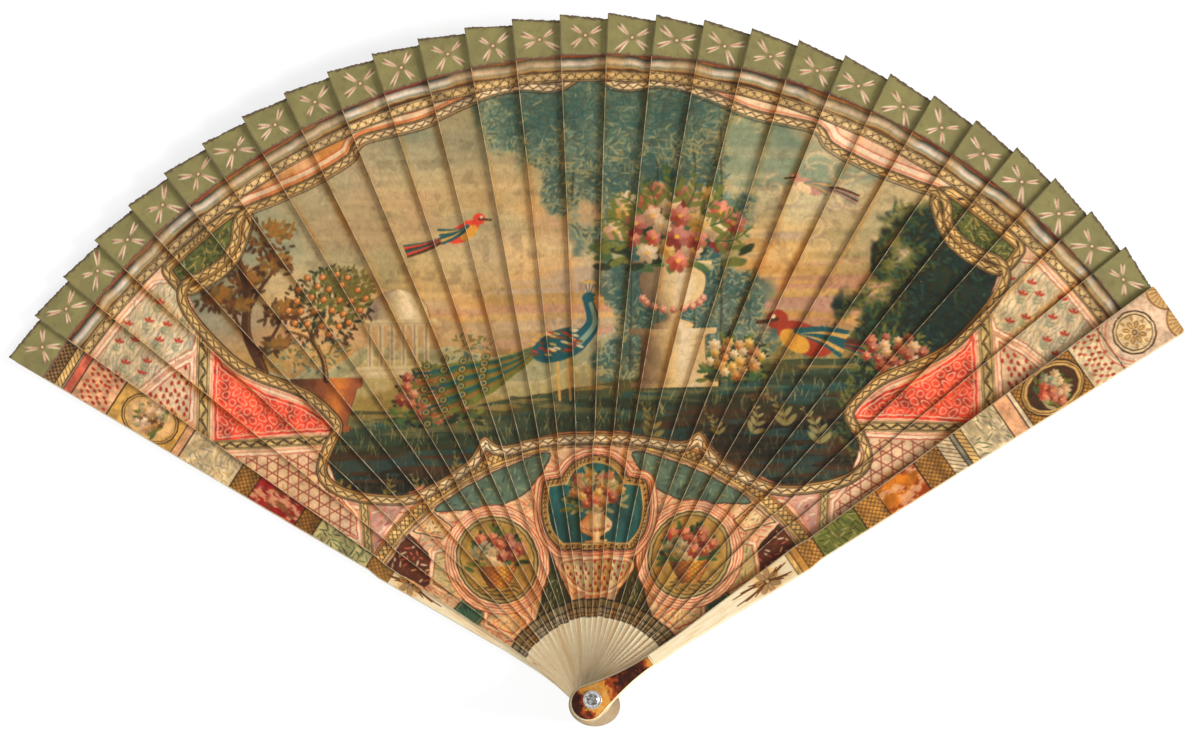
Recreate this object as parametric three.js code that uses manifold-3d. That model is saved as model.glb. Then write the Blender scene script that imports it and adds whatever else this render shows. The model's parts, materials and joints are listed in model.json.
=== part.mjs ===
// Brise fan: two guards and twenty-seven ivory blades that turn on one rivet.
// Millimetres. The fan lies on its back guard, open: the rivet's axis is Z, its rear face is at Z = 0,
// and the middle of the spread points along Y. Every blade is drawn along Y and then turned on the rivet.
import * as THREE from 'three';
import Module from 'manifold-3d';
import { mergeVertices } from 'three/addons/utils/BufferGeometryUtils.js';

const wasm = await Module();
wasm.setup();

// The spread
const stickCount = 27;
const spreadAngle = 113.4; // degrees, back guard to front guard

// Lengths along a blade, from the rivet's axis
const tipRadius = 205;
const shoulderRadius = 75; // where the gorge steps in to the painted panel
const shoulderLength = 4;
const neckStart = 20;
const neckEnd = 31;
const tipCornerRadius = 1;

// Outline shared by the twenty-seven sticks, and the narrower ones of the back guard and the front guard
const stickOutline = {
  tipWidth: 16.3,
  panelWidth: 9.2,
  gorgeWidth: 10,
  neckWidth: 4.6,
  headRadius: 5.6,
  headSetback: 2, // how far the round of the head is centred behind the rivet
  tipSlant: 0.95, // how much further out the tip's left corner is than its middle
};
const guardOutline = {
  tipWidth: 16.7,
  panelWidth: 7.3,
  gorgeWidth: 8.3,
  neckWidth: 3.9,
  headRadius: 5.3,
  headSetback: 1.6,
  tipSlant: 0.95,
};
const frontGuardOutline = { ...guardOutline, tipSlant: 0 };
const headTangentAngle = 15; // degrees above the head's middle where the round ends
const headHandle = 6; // how far the throat's curve follows the head, and then the neck
const neckHandle = 7;

// Thicknesses
const headThickness = 0.66;
const bladeThickness = 0.46; // beyond the scraped slope
const scrapeStart = 20;
const scrapeEnd = 26;
const guardThickness = 1.6;
const slideGap = 0.04; // between neighbours that slide on each other
const frontGuardGap = 0.25; // over the last stick, for the curl of its edge

// Silk ribbon that links the tips, one tab on each blade under the front guard
const ribbonHeight = 11.6;
const ribbonThickness = 0.12;
const ribbonOverhang = 0.3; // past the tip
const ribbonSideMargin = 0.15;
const glueGap = 0.02;

// Tortoiseshell plate let into the front guard
const plateEnd = 20.5;
const plateThickness = 0.75;
const plateRim = 0.45; // ivory left round the plate
const plateClearance = 0.1;
const pocketDepth = 0.7;

// Rivet with its rear head let into the back guard and a collet in front
const pinDiameter = 2;
const pinClearance = 0.2; // on the diameter
const rearHeadDiameter = 5;
const rearHeadThickness = 0.6;
const rearHeadClearance = 0.2; // on the diameter
const rearHeadRoom = 0.05; // under the head
const colletDiameter = 5.4;
const colletHeight = 1.3;
const colletWall = 0.3;
const colletFloor = 0.4;
const colletGap = 0.05; // over the plate
const roundSegments = 24;
const holeSegments = 16;

// Paste stone in the collet
const stoneClearance = 0.08;
const stoneSeatGap = 0.05;
const stoneFootDiameter = 2.9;
const stoneTableDiameter = 2.5;
const stonePavilion = 0.7;
const stoneGirdle = 0.2;
const stoneCrown = 0.85;
const stoneFacets = 12;

// Heights that follow
const pitchAngle = spreadAngle / (stickCount + 1);
const layerPitch = headThickness + slideGap;
const firstStickZ = guardThickness + glueGap + ribbonThickness + slideGap;
const stickZ = (index) => firstStickZ + (index - 1) * layerPitch;
const frontGuardZ = stickZ(stickCount) + headThickness + frontGuardGap;
const plateZ = frontGuardZ + guardThickness - pocketDepth + glueGap;
const colletZ = plateZ + plateThickness + colletGap;
const holeRadius = (pinDiameter + pinClearance) / 2;

const ivory = new THREE.MeshStandardMaterial({ color: 0xe2d0a4, roughness: 0.42, metalness: 0 });
const silk = new THREE.MeshStandardMaterial({ color: 0x828c5c, roughness: 0.85, metalness: 0 });
const tortoiseshell = new THREE.MeshStandardMaterial({ color: 0x8a4a16, roughness: 0.2, metalness: 0 });
const silver = new THREE.MeshStandardMaterial({ color: 0xc9c9cc, roughness: 0.25, metalness: 1 });
const paste = new THREE.MeshStandardMaterial({ color: 0xdfe3e6, roughness: 0.05, metalness: 0 });

const radians = THREE.MathUtils.degToRad;

// Half the width of a blade at a radius on its painted panel
function panelHalfWidth(outline, radius) {
  const start = shoulderRadius + shoulderLength;
  const along = (radius - start) / (tipRadius - start);
  return THREE.MathUtils.lerp(outline.panelWidth, outline.tipWidth, along) / 2;
}

// How far out the slanted end of a blade is, at a place across it
function tipAt(outline, across) {
  return tipRadius - (outline.tipSlant * across) / (outline.tipWidth / 2);
}

// The head's round and the throat up to the neck, on both sides, from the right of the neck to the left
function drawHead(shape, headRadius, headSetback, neckHalf) {
  const angle = radians(headTangentAngle);
  const startX = headRadius * Math.cos(angle);
  const startY = headRadius * Math.sin(angle) - headSetback;
  const handleX = startX - headHandle * Math.sin(angle);
  const handleY = startY + headHandle * Math.cos(angle);
  shape.moveTo(neckHalf, neckStart);
  shape.bezierCurveTo(neckHalf, neckStart - neckHandle, handleX, handleY, startX, startY);
  shape.absarc(0, -headSetback, headRadius, angle, Math.PI - angle, true);
  shape.bezierCurveTo(-handleX, handleY, -neckHalf, neckStart - neckHandle, -neckHalf, neckStart);
}

function rivetHole() {
  return new THREE.Path().absarc(0, 0, holeRadius, 0, 2 * Math.PI, false);
}

// A whole blade: head, throat, neck, gorge, shoulder, panel and tip
function bladeShape(outline) {
  const { tipWidth, panelWidth, gorgeWidth, neckWidth, headRadius, headSetback } = outline;
  const panelStart = shoulderRadius + shoulderLength;
  const tipHalf = tipWidth / 2;
  const shape = new THREE.Shape();
  drawHead(shape, headRadius, headSetback, neckWidth / 2);
  shape.lineTo(-neckWidth / 2, neckEnd);
  shape.lineTo(-gorgeWidth / 2, shoulderRadius);
  shape.lineTo(-panelWidth / 2, panelStart);
  const innerHalf = tipHalf - tipCornerRadius;
  const leftCorner = tipAt(outline, -tipHalf);
  const rightCorner = tipAt(outline, tipHalf);
  shape.lineTo(-panelHalfWidth(outline, tipRadius - tipCornerRadius), leftCorner - tipCornerRadius);
  shape.quadraticCurveTo(-tipHalf, leftCorner, -innerHalf, tipAt(outline, -innerHalf));
  shape.lineTo(innerHalf, tipAt(outline, innerHalf));
  shape.quadraticCurveTo(tipHalf, rightCorner, panelHalfWidth(outline, tipRadius - tipCornerRadius),
    rightCorner - tipCornerRadius);
  shape.lineTo(panelWidth / 2, panelStart);
  shape.lineTo(gorgeWidth / 2, shoulderRadius);
  shape.lineTo(neckWidth / 2, neckEnd);
  return shape;
}

// The tortoiseshell plate, or with no clearance the pocket that takes it
function plateShape(clearance) {
  const inset = plateRim + clearance;
  const neckHalf = guardOutline.neckWidth / 2 - inset;
  const shape = new THREE.Shape();
  drawHead(shape, guardOutline.headRadius - inset, guardOutline.headSetback, neckHalf);
  shape.lineTo(-neckHalf, plateEnd - clearance);
  shape.lineTo(neckHalf, plateEnd - clearance);
  return shape;
}

function ribbonShape(outline) {
  const innerRadius = tipRadius - ribbonHeight;
  const innerHalf = panelHalfWidth(outline, innerRadius) - ribbonSideMargin;
  const outerHalf = outline.tipWidth / 2 - ribbonSideMargin;
  return new THREE.Shape()
    .moveTo(-innerHalf, innerRadius)
    .lineTo(innerHalf, innerRadius)
    .lineTo(outerHalf, tipAt(outline, outerHalf) + ribbonOverhang)
    .lineTo(-outerHalf, tipAt(outline, -outerHalf) + ribbonOverhang);
}

function extrude(shape, thickness, curveSegments = 6) {
  return new THREE.ExtrudeGeometry(shape, { depth: thickness, bevelEnabled: false, curveSegments });
}

// A closed three.js geometry as a solid that can be cut and joined
function toSolid(geometry) {
  const bare = geometry.index ? geometry.toNonIndexed() : geometry.clone();
  bare.deleteAttribute('normal');
  bare.deleteAttribute('uv');
  const merged = mergeVertices(bare, 1e-5);
  return new wasm.Manifold(new wasm.Mesh({
    numProp: 3,
    vertProperties: new Float32Array(merged.attributes.position.array),
    triVerts: new Uint32Array(merged.index.array),
  }));
}

function toGeometry(solid) {
  const mesh = solid.getMesh();
  const geometry = new THREE.BufferGeometry();
  geometry.setAttribute('position', new THREE.BufferAttribute(new Float32Array(mesh.vertProperties), 3));
  geometry.setIndex(new THREE.BufferAttribute(new Uint32Array(mesh.triVerts), 1));
  geometry.computeVertexNormals();
  return geometry;
}

// A stick is thick at the head, and scraped thin from the neck to the tip
function stickGeometry() {
  const shape = bladeShape(stickOutline);
  shape.holes.push(rivetHole());
  const spare = 2; // how far the cutter stands past what it cuts
  const cutter = new THREE.Shape()
    .moveTo(scrapeStart, headThickness)
    .lineTo(scrapeEnd, bladeThickness)
    .lineTo(tipRadius + spare, bladeThickness)
    .lineTo(tipRadius + spare, headThickness + spare)
    .lineTo(scrapeStart, headThickness + spare);
  const cutterWidth = stickOutline.tipWidth + 2 * spare;
  const scrape = extrude(cutter, cutterWidth);
  scrape.translate(0, 0, -cutterWidth / 2);
  // The cutter's outline was drawn as length and height, so X becomes Y and Y becomes Z
  scrape.applyMatrix4(new THREE.Matrix4().set(0, 0, 1, 0, 1, 0, 0, 0, 0, 1, 0, 0, 0, 0, 0, 1));
  return toGeometry(toSolid(extrude(shape, headThickness)).subtract(toSolid(scrape)));
}

function backGuardGeometry() {
  const shape = bladeShape(guardOutline);
  shape.holes.push(rivetHole());
  const recessDepth = rearHeadThickness + rearHeadRoom;
  const recessRadius = (rearHeadDiameter + rearHeadClearance) / 2;
  const recess = new THREE.CylinderGeometry(recessRadius, recessRadius, 2 * recessDepth, roundSegments);
  recess.rotateX(Math.PI / 2);
  return toGeometry(toSolid(extrude(shape, guardThickness)).subtract(toSolid(recess)));
}

function frontGuardGeometry() {
  const shape = bladeShape(frontGuardOutline);
  shape.holes.push(rivetHole());
  const pocket = extrude(plateShape(0), 2 * pocketDepth);
  pocket.translate(0, 0, guardThickness - pocketDepth);
  return toGeometry(toSolid(extrude(shape, guardThickness)).subtract(toSolid(pocket)));
}

function plateGeometry() {
  const shape = plateShape(plateClearance);
  shape.holes.push(rivetHole());
  return extrude(shape, plateThickness);
}

// One turned piece: rear head, pin and the cup of the collet
function rivetGeometry() {
  const pin = pinDiameter / 2;
  const cup = colletDiameter / 2;
  const profile = [
    [0, 0],
    [rearHeadDiameter / 2, 0],
    [rearHeadDiameter / 2, rearHeadThickness],
    [pin, rearHeadThickness],
    [pin, colletZ],
    [cup, colletZ],
    [cup, colletZ + colletHeight],
    [cup - colletWall, colletZ + colletHeight],
    [cup - colletWall, colletZ + colletFloor],
    [0, colletZ + colletFloor],
  ];
  return turned(profile, roundSegments);
}

function stoneGeometry() {
  const girdle = colletDiameter / 2 - colletWall - stoneClearance;
  const profile = [
    [0, 0],
    [stoneFootDiameter / 2, 0],
    [girdle, stonePavilion],
    [girdle, stonePavilion + stoneGirdle],
    [stoneTableDiameter / 2, stonePavilion + stoneGirdle + stoneCrown],
    [0, stonePavilion + stoneGirdle + stoneCrown],
  ];
  return turned(profile, stoneFacets);
}

// A profile of radius and height, turned about Z
function turned(profile, segments) {
  const points = profile.map(([radius, height]) => new THREE.Vector2(radius, height));
  const geometry = new THREE.LatheGeometry(points, segments);
  geometry.rotateX(Math.PI / 2);
  return geometry;
}

function place(parent, name, geometry, material, z = 0) {
  const mesh = new THREE.Mesh(geometry, material);
  mesh.name = name;
  mesh.position.z = z;
  parent.add(mesh);
}

// A group turned on the rivet so that what is drawn along Y points where the blade of that number does
function bladeGroup(index, z) {
  const blade = new THREE.Group();
  blade.rotation.z = radians(spreadAngle / 2 - index * pitchAngle);
  blade.position.z = z;
  return blade;
}

const twoDigits = (index) => String(index).padStart(2, '0');

const fan = new THREE.Group();

const backGuard = bladeGroup(0, 0);
place(backGuard, 'back_guard', backGuardGeometry(), ivory);
place(backGuard, 'ribbon_00', extrude(ribbonShape(guardOutline), ribbonThickness), silk,
  guardThickness + glueGap);
fan.add(backGuard);

const oneStick = stickGeometry();
const oneRibbon = extrude(ribbonShape(stickOutline), ribbonThickness);
for (let index = 1; index <= stickCount; index += 1) {
  const blade = bladeGroup(index, stickZ(index));
  place(blade, `stick_${twoDigits(index)}`, oneStick, ivory);
  place(blade, `ribbon_${twoDigits(index)}`, oneRibbon, silk, bladeThickness + glueGap);
  fan.add(blade);
}

const frontGuard = bladeGroup(stickCount + 1, 0);
place(frontGuard, 'front_guard', frontGuardGeometry(), ivory, frontGuardZ);
place(frontGuard, 'front_guard_shell', plateGeometry(), tortoiseshell, plateZ);
fan.add(frontGuard);

place(fan, 'rivet', rivetGeometry(), silver);
place(fan, 'paste_stone', stoneGeometry(), paste, colletZ + colletFloor + stoneSeatGap);

export default fan;
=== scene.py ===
"""The looks of a brise fan: painted ivory blades on one rivet, their tips linked by silk tabs."""
import json
import logging
import math
from dataclasses import dataclass, field, replace
from enum import Enum
from typing import Any, Callable, Iterator, Sequence

import bmesh
import bpy
import numpy as np
from mathutils import Matrix, Vector
from mathutils.geometry import interpolate_bezier

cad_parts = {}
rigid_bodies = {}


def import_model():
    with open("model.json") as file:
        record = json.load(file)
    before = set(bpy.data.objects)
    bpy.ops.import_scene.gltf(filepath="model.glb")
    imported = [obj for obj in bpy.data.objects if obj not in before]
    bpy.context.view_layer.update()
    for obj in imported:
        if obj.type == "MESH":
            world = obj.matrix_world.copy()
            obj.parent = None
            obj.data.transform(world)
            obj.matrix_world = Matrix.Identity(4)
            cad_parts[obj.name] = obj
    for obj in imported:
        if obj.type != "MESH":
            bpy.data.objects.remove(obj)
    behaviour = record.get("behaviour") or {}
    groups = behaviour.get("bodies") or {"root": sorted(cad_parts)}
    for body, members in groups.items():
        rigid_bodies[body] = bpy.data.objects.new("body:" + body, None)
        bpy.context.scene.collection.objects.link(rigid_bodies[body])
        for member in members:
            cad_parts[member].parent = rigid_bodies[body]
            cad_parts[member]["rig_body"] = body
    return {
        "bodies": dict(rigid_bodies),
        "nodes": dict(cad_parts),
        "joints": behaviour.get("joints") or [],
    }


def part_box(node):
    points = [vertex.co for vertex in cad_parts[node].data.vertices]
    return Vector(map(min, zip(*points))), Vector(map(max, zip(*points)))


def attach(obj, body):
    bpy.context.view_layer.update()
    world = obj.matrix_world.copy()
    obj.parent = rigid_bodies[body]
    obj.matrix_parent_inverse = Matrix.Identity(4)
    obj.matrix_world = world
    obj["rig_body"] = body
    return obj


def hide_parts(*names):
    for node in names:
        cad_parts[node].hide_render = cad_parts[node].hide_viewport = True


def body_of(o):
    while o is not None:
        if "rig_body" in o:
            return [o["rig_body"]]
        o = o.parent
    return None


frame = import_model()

LOG = logging.getLogger("fan")
MM = 0.001
Array = np.ndarray
Point = tuple[float, float]
Window = tuple[slice, slice]
WHOLE = (slice(None), slice(None))

STICKS = sum(name.startswith("stick_") for name in frame["bodies"])
SPREAD = next(joint["range_deg"][1] for joint in frame["joints"] if joint["name"] == "fan_fold")
PITCH = SPREAD / (STICKS + 1)
TIP = 205.0
SHOULDER = 75.0
PANEL_START = 79.0
NECK_START = 20.0
NECK_END = 31.0
TIP_CORNER = 1.0
SILK_START = 193.4
SILK_END = 205.3
IVORY_END = 24.8  # radius where the painting stops and the bare ivory starts


# Colours, as they look in plain light


def dye(code: str) -> Array:
    """Red, green and blue from 0 to 1, from a hexadecimal code."""
    return np.array([int(code[place:place + 2], 16) / 255 for place in (0, 2, 4)], np.float32)


BLACK = dye("2B2119")
UMBER = dye("45301F")
BROWN = dye("6B4523")
GOLD = dye("BE9049")
PALE_GOLD = dye("D8BE83")
DARK_GOLD = dye("8C6630")
ORANGE = dye("C9803F")
CREAM = dye("E6D3AC")
PALE = dye("D9D2BC")
WHITE = dye("F0E8D6")
PINK = dye("E2B697")
ROSE = dye("CF6E5C")
RED = dye("B23A2C")
CRIMSON = dye("8F2222")
CORAL = dye("DB4A38")
PALE_CORAL = dye("F2A48C")
MAUVE = dye("B98F86")
PLUM = dye("83303C")
PEACOCK = dye("1E5563")
TEAL = dye("4E706A")
PALE_TEAL = dye("85A095")
SLATE = dye("7F8783")
SAGE = dye("A6A77F")
LEAF = dye("697436")
GREEN = dye("40613A")
DARK_GREEN = dye("25301F")
DEEP = dye("171C16")
OLIVE = dye("746C3A")
STRAW = dye("C9A75F")
YELLOW = dye("DDAF45")
PEACH = dye("D29F66")
HAZE = dye("8E9468")
LILAC = dye("B3A79B")
BLUSH = dye("D6BDBE")
SILK = dye("817741")
SILK_DARK = dye("5F5731")
IVORY = dye("D8C296")
PALE_IVORY = dye("E6D8B8")
HONEY = dye("FFE6B8")
# dark tone of the painted facet reflections in the paste
PAINTED_FACET_DARK = dye("6E625A")
# sawn ivory of the side faces, darkened further as painted shade
SAWN_AND_SHADE = dye("A98F68")
TAN = dye("CE9A5C")
AMBER = dye("BA7322")
SHELL_RED = dye("8A3412")
SHELL_DARK = dye("2A0E06")
SILVER = dye("C9C8C4")
PASTE = dye("E4E6E6")


def linear(rgb: Array) -> Array:
    """Display colours as the linear light that a shader works in."""
    return np.where(rgb <= 0.04045, rgb / 12.92, ((rgb + 0.055) / 1.055) ** 2.4)


def blend(first: Array, second: Array, share: float | Array) -> Array:
    """A mix of two colours, the first where share is 0."""
    return first * (1 - share) + second * share


def gradient(share: Array, stops: Sequence[tuple[float, Array]]) -> Array:
    """A colour for each share, from the colours at a few stops."""
    places, tones = [stop for stop, _ in stops], np.array([tone for _, tone in stops])
    return np.stack([np.interp(share, places, tones[:, channel]) for channel in range(3)], -1)


# Noise


def ease(value: Array) -> Array:
    """Smooth step from 0 to 1, flat at both ends."""
    value = np.clip(value, 0, 1)
    return value * value * (3 - 2 * value)


def value_noise(shape: tuple[int, int], cell: Point, rng: np.random.Generator) -> Array:
    """One layer of smooth noise from 0 to 1, its lumps a cell of rows and columns in size."""
    rows, columns = np.arange(shape[0]) / cell[0], np.arange(shape[1]) / cell[1]
    grid = rng.random((int(rows[-1]) + 2, int(columns[-1]) + 2), dtype=np.float32)
    row, column = rows.astype(int), columns.astype(int)
    down = ease(rows - row)[:, None].astype(np.float32)
    across = ease(columns - column)[None, :].astype(np.float32)
    bands = grid[row] * (1 - down) + grid[row + 1] * down
    return bands[:, column] * (1 - across) + bands[:, column + 1] * across


def cloudy(shape: tuple[int, int], cell: Point, seed: int, octaves: int = 4) -> Array:
    """Layered noise, stretched so that it fills 0 to 1.

    Args:
        shape: Rows and columns.
        cell: Size of the largest lump in rows and in columns.
        seed: Seed of the noise.
        octaves: Layers, each half the size of the one before.

    Returns:
        The noise, rows by columns.
    """
    rng = np.random.default_rng(seed)
    total = np.zeros(shape, np.float32)
    weight, reach = 1.0, 0.0
    for octave in range(octaves):
        size = (max(cell[0] / 2 ** octave, 1.0), max(cell[1] / 2 ** octave, 1.0))
        total += weight * value_noise(shape, size, rng)
        reach += weight
        weight *= 0.55
    return np.clip((total / reach - 0.5) * 1.9 + 0.5, 0, 1)


def mottled(tone: Array, noise: Array, low: float, swing: float) -> Array:
    """A colour made uneven by noise, from low to low plus swing times its strength."""
    return np.clip(tone * (low + swing * noise[..., None]), 0, 1)


def brushed(along: Array, across: Array, seed: int) -> Array:
    """Noise drawn out along a band."""
    table = cloudy((128, 1024), (7, 14), seed, 3)
    rows = np.clip((across - across.min()) * 16, 0, 127).astype(int)
    columns = ((along - along.min()) * 1.6).astype(int) % 1024
    return table[rows, columns]


# Curves


def smooth_curve(points: Sequence[Point], closed: bool = False, steps: int = 8) -> list[Point]:
    """A round curve through points.

    Args:
        points: Where the curve passes.
        closed: Whether it comes back to its start.
        steps: Points for each stretch.

    Returns:
        The curve's points.
    """
    count = len(points)
    curve = []
    for index in range(count if closed else count - 1):
        near = [index + shift for shift in (-1, 0, 1, 2)]
        near = [points[place % count if closed else min(max(place, 0), count - 1)] for place in near]
        for step in range(steps):
            t = step / steps
            curve.append(tuple(0.5 * (2 * q + (r - p) * t + (2 * p - 5 * q + 4 * r - s) * t * t
                + (3 * q - p - 3 * r + s) * t ** 3) for p, q, r, s in zip(*near)))
    return curve if closed else curve + [tuple(points[-1])]


def polar(turn: float, radius: float) -> Point:
    """The place at a turn in degrees clockwise from the middle of the spread, and a radius."""
    return (radius * math.sin(math.radians(turn)), radius * math.cos(math.radians(turn)))


def toward(x: float, y: float, reach: float, angle: float) -> Point:
    """The place that lies at a distance from another, at an angle in radians."""
    return (x + reach * math.cos(angle), y + reach * math.sin(angle))


def arc(x: float, y: float, across: float, up: float, angles: Sequence[float]) -> list[Point]:
    """Places on an oval at angles in radians."""
    return [(x + across * math.cos(angle), y + up * math.sin(angle)) for angle in angles]


def shifted(points: Sequence[Point], across: float) -> list[Point]:
    """Points moved sideways."""
    return [(x + across, y) for x, y in points]


def scaled(profile: Sequence[Point], size: float) -> list[Point]:
    """Points of a profile drawn at a size."""
    return [(height * size, half * size) for height, half in profile]


def segment_distance(x: Array, y: Array, a: Point, b: Point) -> tuple[Array, Array]:
    """How far places lie from a straight stretch.

    Args:
        x: Places across.
        y: Places up.
        a: Start of the stretch.
        b: End of the stretch.

    Returns:
        The distance, and the share of the stretch passed at the nearest point.
    """
    dx, dy = b[0] - a[0], b[1] - a[1]
    share = np.clip(((x - a[0]) * dx + (y - a[1]) * dy) / max(dx * dx + dy * dy, 1e-9), 0, 1)
    return np.hypot(x - a[0] - share * dx, y - a[1] - share * dy), share


# Regions of the painting


@dataclass(frozen=True)
class Polygon:
    """A region inside straight or finely stepped sides."""

    points: Sequence[Point]

    def stretches(self) -> Iterator[tuple[Point, Point]]:
        """The two ends of each side."""
        return zip(self.points, [*self.points[1:], self.points[0]])

    def bounds(self) -> tuple[float, float, float, float]:
        """Lowest and highest corners."""
        xs, ys = zip(*self.points)
        return min(xs), min(ys), max(xs), max(ys)

    def depth(self, x: Array, y: Array) -> Array:
        """How far inside places lie, negative outside."""
        x, y = np.broadcast_arrays(x, y)
        best = np.full(x.shape, 1e9)
        inside = np.zeros(x.shape, bool)
        for a, b in self.stretches():
            best = np.minimum(best, segment_distance(x, y, a, b)[0])
            if a[1] != b[1]:
                crossing = a[0] + (y - a[1]) * (b[0] - a[0]) / (b[1] - a[1])
                inside ^= ((a[1] > y) != (b[1] > y)) & (x < crossing)
        return np.where(inside, best, -best)


@dataclass(frozen=True)
class Oval:
    """A region inside an ellipse, turned counterclockwise by tilt degrees."""

    x: float
    y: float
    half_width: float
    half_height: float
    tilt: float = 0.0

    def bounds(self) -> tuple[float, float, float, float]:
        """Lowest and highest corners of a square round the oval."""
        reach = max(self.half_width, self.half_height)
        return self.x - reach, self.y - reach, self.x + reach, self.y + reach

    def depth(self, x: Array, y: Array) -> Array:
        """How far inside places lie, negative outside."""
        c, s = math.cos(math.radians(self.tilt)), math.sin(math.radians(self.tilt))
        across, up = (x - self.x) * c + (y - self.y) * s, (y - self.y) * c - (x - self.x) * s
        ratio = np.hypot(across / self.half_width, up / self.half_height) + 1e-6
        slope = np.hypot(across / self.half_width ** 2, up / self.half_height ** 2) + 1e-6
        return (1 - ratio) * ratio / slope


@dataclass(frozen=True)
class Ring:
    """A region between two radii and two turns round the rivet."""

    inner: float
    outer: float
    start: float
    end: float

    def bounds(self) -> tuple[float, float, float, float]:
        """Lowest and highest corners."""
        xs, ys = zip(*(polar(turn, radius) for turn in np.linspace(self.start, self.end, 9)
            for radius in (self.inner, self.outer)))
        return min(xs) - 1, min(ys) - 1, max(xs) + 1, max(ys) + 1

    def depth(self, x: Array, y: Array) -> Array:
        """How far inside places lie, negative outside."""
        radius, turn = np.hypot(x, y), np.degrees(np.arctan2(x, y))
        sides = np.minimum(turn - self.start, self.end - turn) * np.radians(1) * radius
        return np.minimum(np.minimum(radius - self.inner, self.outer - radius), sides)


Region = Polygon | Oval | Ring


def mirrored(points: Sequence[Point], side: int) -> Polygon:
    """A region drawn at the right, put at either side."""
    return Polygon([(side * x, y) for x, y in points])


@dataclass(frozen=True)
class Trim:
    """A line that runs inside a region's edge."""

    inset: float
    width: float
    colour: Array
    gilt: float = 0.0


PINK_TRIM = (Trim(0, 0.3, ROSE), Trim(0.55, 0.9, WHITE), Trim(1.15, 0.32, RED))


# The painter's means


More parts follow.
